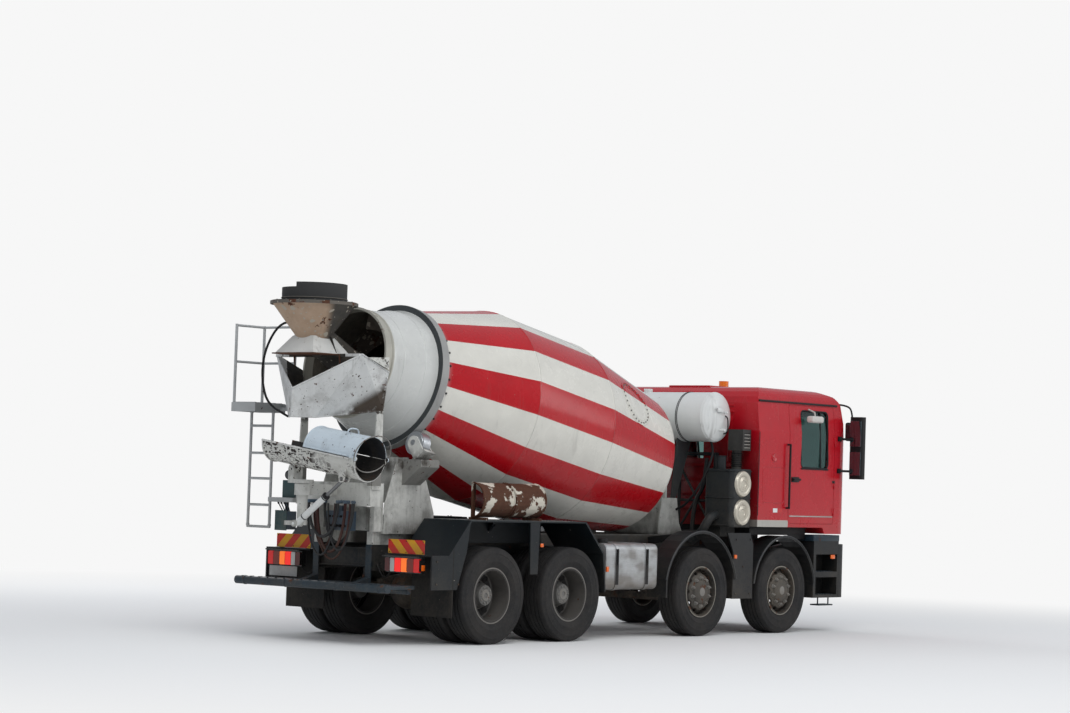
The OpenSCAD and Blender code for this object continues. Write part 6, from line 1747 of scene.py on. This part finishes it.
class MIXER_OT_tanks(bpy.types.Operator):
    """Makes the fittings of tanks, silencer, intake and battery box, and the pipe rack"""
    bl_idname = "mixer.tanks"
    bl_label = "Tank and silencer fittings"

    def execute(self, context):
        cap = turned([(0.0, 0.060), (0.030, 0.060), (0.052, 0.052), (0.060, 0.040), (0.060, 0.0),
                      (0.0, 0.0)], 28)
        straps = [moved(cap, set_at((FUEL_X + 0.120, FUEL_Y + 0.160, FUEL_TOP + 0.005)))]
        for x in (FUEL_X + 0.180, FUEL_X + 0.750):
            y, top = FUEL_Y, FUEL_TOP
            straps += [block((x + 0.010, y - 0.012, top - 0.20), (x + 0.040, y + 0.001, top - 0.10), 0.003),
                       rod((x + 0.025, y - 0.010, top - 0.24), (x + 0.025, y - 0.010, top - 0.06), 0.006, 8),
                       block((x - 0.002, y - 0.0035, top - 0.47), (x + 0.052, y - 0.0005, top - 0.06),
                             0.001, 1)]
        done("fuel_cap_and_straps", straps, "seal black")
        marker = block((FUEL_X + 0.005, FUEL_Y - 0.008, 0.78), (FUEL_X + 0.045, FUEL_Y + 0.010, 0.84), 0.003)
        done("fuel_tank_lamp", marker, "amber lens")
        seams = [round_frame((FUEL_Y + 0.009, 0.571), (FUEL_Y + 0.619, 1.099), 0.069, 0.004,
                             lambda y, z: Vector((FUEL_X + along, y, z))) for along in (0.012, 0.968)]
        done("fuel_tank_seams", seams, "tank aluminium")

        def on_tank(*way):
            return TANK_AT + Vector(way)

        bands = [hoop(on_tank(0, y, 0), (0, 1, 0), TANK_R, 0.0045, 72, 8) for y in (-0.83, 0.83)]
        bands += [rod(on_tank(0, 0.2, 0.295), on_tank(0, 0.2, 0.345), 0.055, 28, 0.006),
                  block(on_tank(-0.10, -0.955, 0.06), on_tank(0.04, -0.935, 0.11), 0.002),
                  rod(on_tank(0.0, -0.90, -0.16), on_tank(0.0, -0.995, -0.16), 0.018, 14, 0.002),
                  rod(on_tank(0.07, -0.90, 0.06), on_tank(0.07, -0.975, 0.06), 0.011, 12, 0.002)]
        done("water_tank_bands", bands, "tank white")
        straps = [hoop(on_tank(0, y, 0), (0, 1, 0), TANK_R, 0.006, 72, 8)
                  for y in (-0.475, -0.455, 0.34, 0.36)]
        done("water_tank_straps", straps, "guard edge")
        gauge = ((-0.90, -0.20), (-0.955, -0.20), (-0.965, -0.10), (-0.955, 0.02), (-0.90, 0.02))
        done("water_tank_gauge", pipe([on_tank(0.10, y, up) for y, up in gauge], 0.008, 8, 5), "seal black")

        low_x, high_x = SILENCER_X
        discs = []
        for z in (1.490, 1.840):
            disc = turned([(0.0, 0.012), (0.040, 0.012), (0.046, 0.020), (0.060, 0.020), (0.070, 0.012),
                           (0.090, 0.012), (0.100, 0.024), (0.130, 0.030), (0.150, 0.026), (0.162, 0.006),
                           (0.166, -0.006)], 48)
            discs.append(moved(disc, set_at(((low_x + high_x) / 2, -1.185, z), 90)))
        done("silencer_discs", discs, "pressed silver")
        clamps = [round_frame((low_x - 0.003, -1.188), (high_x + 0.003, -0.757), 0.062, 0.008,
                              lambda x, y: Vector((x, y, z))) for z in (1.33, 1.665, 1.995)]
        exhaust = ((-0.02, -0.95, 1.45), (0.07, -0.95, 1.45), (0.14, -0.92, 1.36), (0.16, -0.85, 1.22),
                   (0.16, -0.70, 1.12))
        clamps += [pipe([(low_x - back, y, z) for back, y, z in exhaust], 0.055, 16, 6),
                   hoop((low_x + 0.15, -0.90, 2.175), (0, 0, 1), 0.066, 0.006, 28, 8)]
        done("silencer_clamps", clamps, "silencer")

        slats = []
        for z in (2.281 + i * 0.040 for i in range(5)):
            slats.append(block((INTAKE_X - 0.078, -1.155, z), (INTAKE_X + 0.038, -1.128, z + 0.010), 0.001,
                               1))
        for z in (2.275 + i * 0.036 for i in range(6)):
            slats.append(block((INTAKE_X + 0.0595, -1.13, z), (INTAKE_X + 0.066, -0.95, z + 0.010), 0.001, 1))
        done("intake_slats", slats, "pale slats")
        bellows = [hoop((INTAKE_X - 0.020, -1.000, 2.06 + i * 0.022), (0, 0, 1), 0.062, 0.007, 28, 8)
                   for i in range(8)]
        done("intake_bellows", bellows, "seal black")

        bars = ((-0.70, 1.16, -0.70, 2.22, 0.022), (-0.16, 1.16, -0.16, 2.22, 0.022),
                (-0.70, 1.25, -0.16, 2.05, 0.016),
                (-0.16, 1.25, -0.70, 2.05, 0.016), (-0.74, 2.20, -0.12, 2.20, 0.022),
                (-0.74, 1.62, -0.12, 1.62, 0.018))
        rack = [rod((RACK_X, y, z), (RACK_X, far_y, far_z), radius, 12)
                for y, z, far_y, far_z, radius in bars]
        rack.append(block((RACK_X - 0.06, -0.70, 1.15), (RACK_X + 0.06, -0.16, 1.19), 0.004))
        cable = ((0.04, -0.60, 2.15), (0.06, -0.60, 1.80), (0.05, -0.42, 1.60), (0.04, -0.40, 1.20))
        rack.append(pipe([(RACK_X - back, y, z) for back, y, z in cable], 0.026, 12, 6))
        done("pipe_rack", rack, "silencer")

        x = BATTERY_X
        lid = [block((x - 0.004, 0.64, 1.0795), (x + 0.564, 1.16, 1.092), 0.006),
               block((x + 0.15, 1.1995, 0.96), (x + 0.20, 1.212, 1.09), 0.003),
               block((x + 0.38, 1.1995, 0.96), (x + 0.43, 1.212, 1.09), 0.003)]
        for z in (0.700, 0.960):
            lid += [hoop((x + along, 0.900, z), (1, 0, 0), 0.1185, 0.006, 48, 8) for along in (0.68, 0.98)]
            lid.append(rod((x + 0.83, 0.900, z - 0.116), (x + 0.83, 0.900, z - 0.150), 0.012, 8, 0.002))
        done("battery_lid_and_bands", lid, "black plastic")
        return {"FINISHED"}


class MIXER_OT_spares(bpy.types.Operator):
    """Makes the rims of the spare chutes and the rollers' covers"""
    bl_idname = "mixer.spares"
    bl_label = "Spare chute rims and roller covers"

    def execute(self, context):
        radius = SPARE_R + 0.002
        rims = [pipe([(AXLE_4 + along, SPARE_Y - radius * sin(turn), SPARE_Z + radius * cos(turn))
                      for turn in sweep(4, 176, 20)], 0.008, 8, 2) for along in (-0.130, 0.380, 0.420, 0.930)]
        done("spare_chute_rims", rims, "rusty chute")
        for name in ("l", "r"):
            low, high = (Vector(corner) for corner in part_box(f"roller_{name}"))
            plug = turned([(0.060, -0.001), (0.064, 0.004), (0.112, 0.004), (0.116, -0.001)], 48)
            along = DRUM_ALONG.to_track_quat("Z", "Y").to_matrix().to_4x4()
            on_roller = Matrix.Translation((low + high) / 2) @ along
            covers = [copied(plug, on_roller @ Matrix.Rotation(turn, 4,
                                                               "X") @ Matrix.Translation((0, 0, 0.060)))
                      for turn in (0, pi)]
            bpy.data.objects.remove(plug)
            done(f"roller_rims_{name}", covers, "roller steel", f"roller_{name}")
        return {"FINISHED"}


STEPS = [MIXER_OT_stage, MIXER_OT_hoses, MIXER_OT_finishes, MIXER_OT_tyres, MIXER_OT_rims, MIXER_OT_drum,
         MIXER_OT_hoppers, MIXER_OT_chutes, MIXER_OT_rear, MIXER_OT_doors, MIXER_OT_cab, MIXER_OT_front,
         MIXER_OT_tanks, MIXER_OT_spares]


class MIXER_PT_sidebar(bpy.types.Panel):
    """Lists the steps that dress the truck, with its colours and sizes"""
    bl_idname = "MIXER_PT_sidebar"
    bl_label = "Mixer truck"
    bl_space_type = "VIEW_3D"
    bl_region_type = "UI"
    bl_category = "Mixer truck"

    def draw(self, context):
        for step in STEPS:
            self.layout.operator(step.bl_idname)
        for settings in (context.scene.mixer_paints, context.scene.mixer_sizes):
            for name in settings.bl_rna.properties.keys():
                if name not in {"rna_type", "name"}:
                    self.layout.prop(settings, name)


CLASSES = [MixerPaints, MixerSizes, *STEPS, MIXER_PT_sidebar]


def register():
    for made in CLASSES:
        bpy.utils.register_class(made)
    bpy.types.Scene.mixer_paints = bpy.props.PointerProperty(type=MixerPaints)
    bpy.types.Scene.mixer_sizes = bpy.props.PointerProperty(type=MixerSizes)


def unregister():
    del bpy.types.Scene.mixer_sizes
    del bpy.types.Scene.mixer_paints
    for made in reversed(CLASSES):
        bpy.utils.unregister_class(made)


def main():
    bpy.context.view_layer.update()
    register()
    for step in STEPS:
        family, name = step.bl_idname.split(".")
        getattr(getattr(bpy.ops, family), name)()
    deselect()
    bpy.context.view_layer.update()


if __name__ == "__main__":
    main()
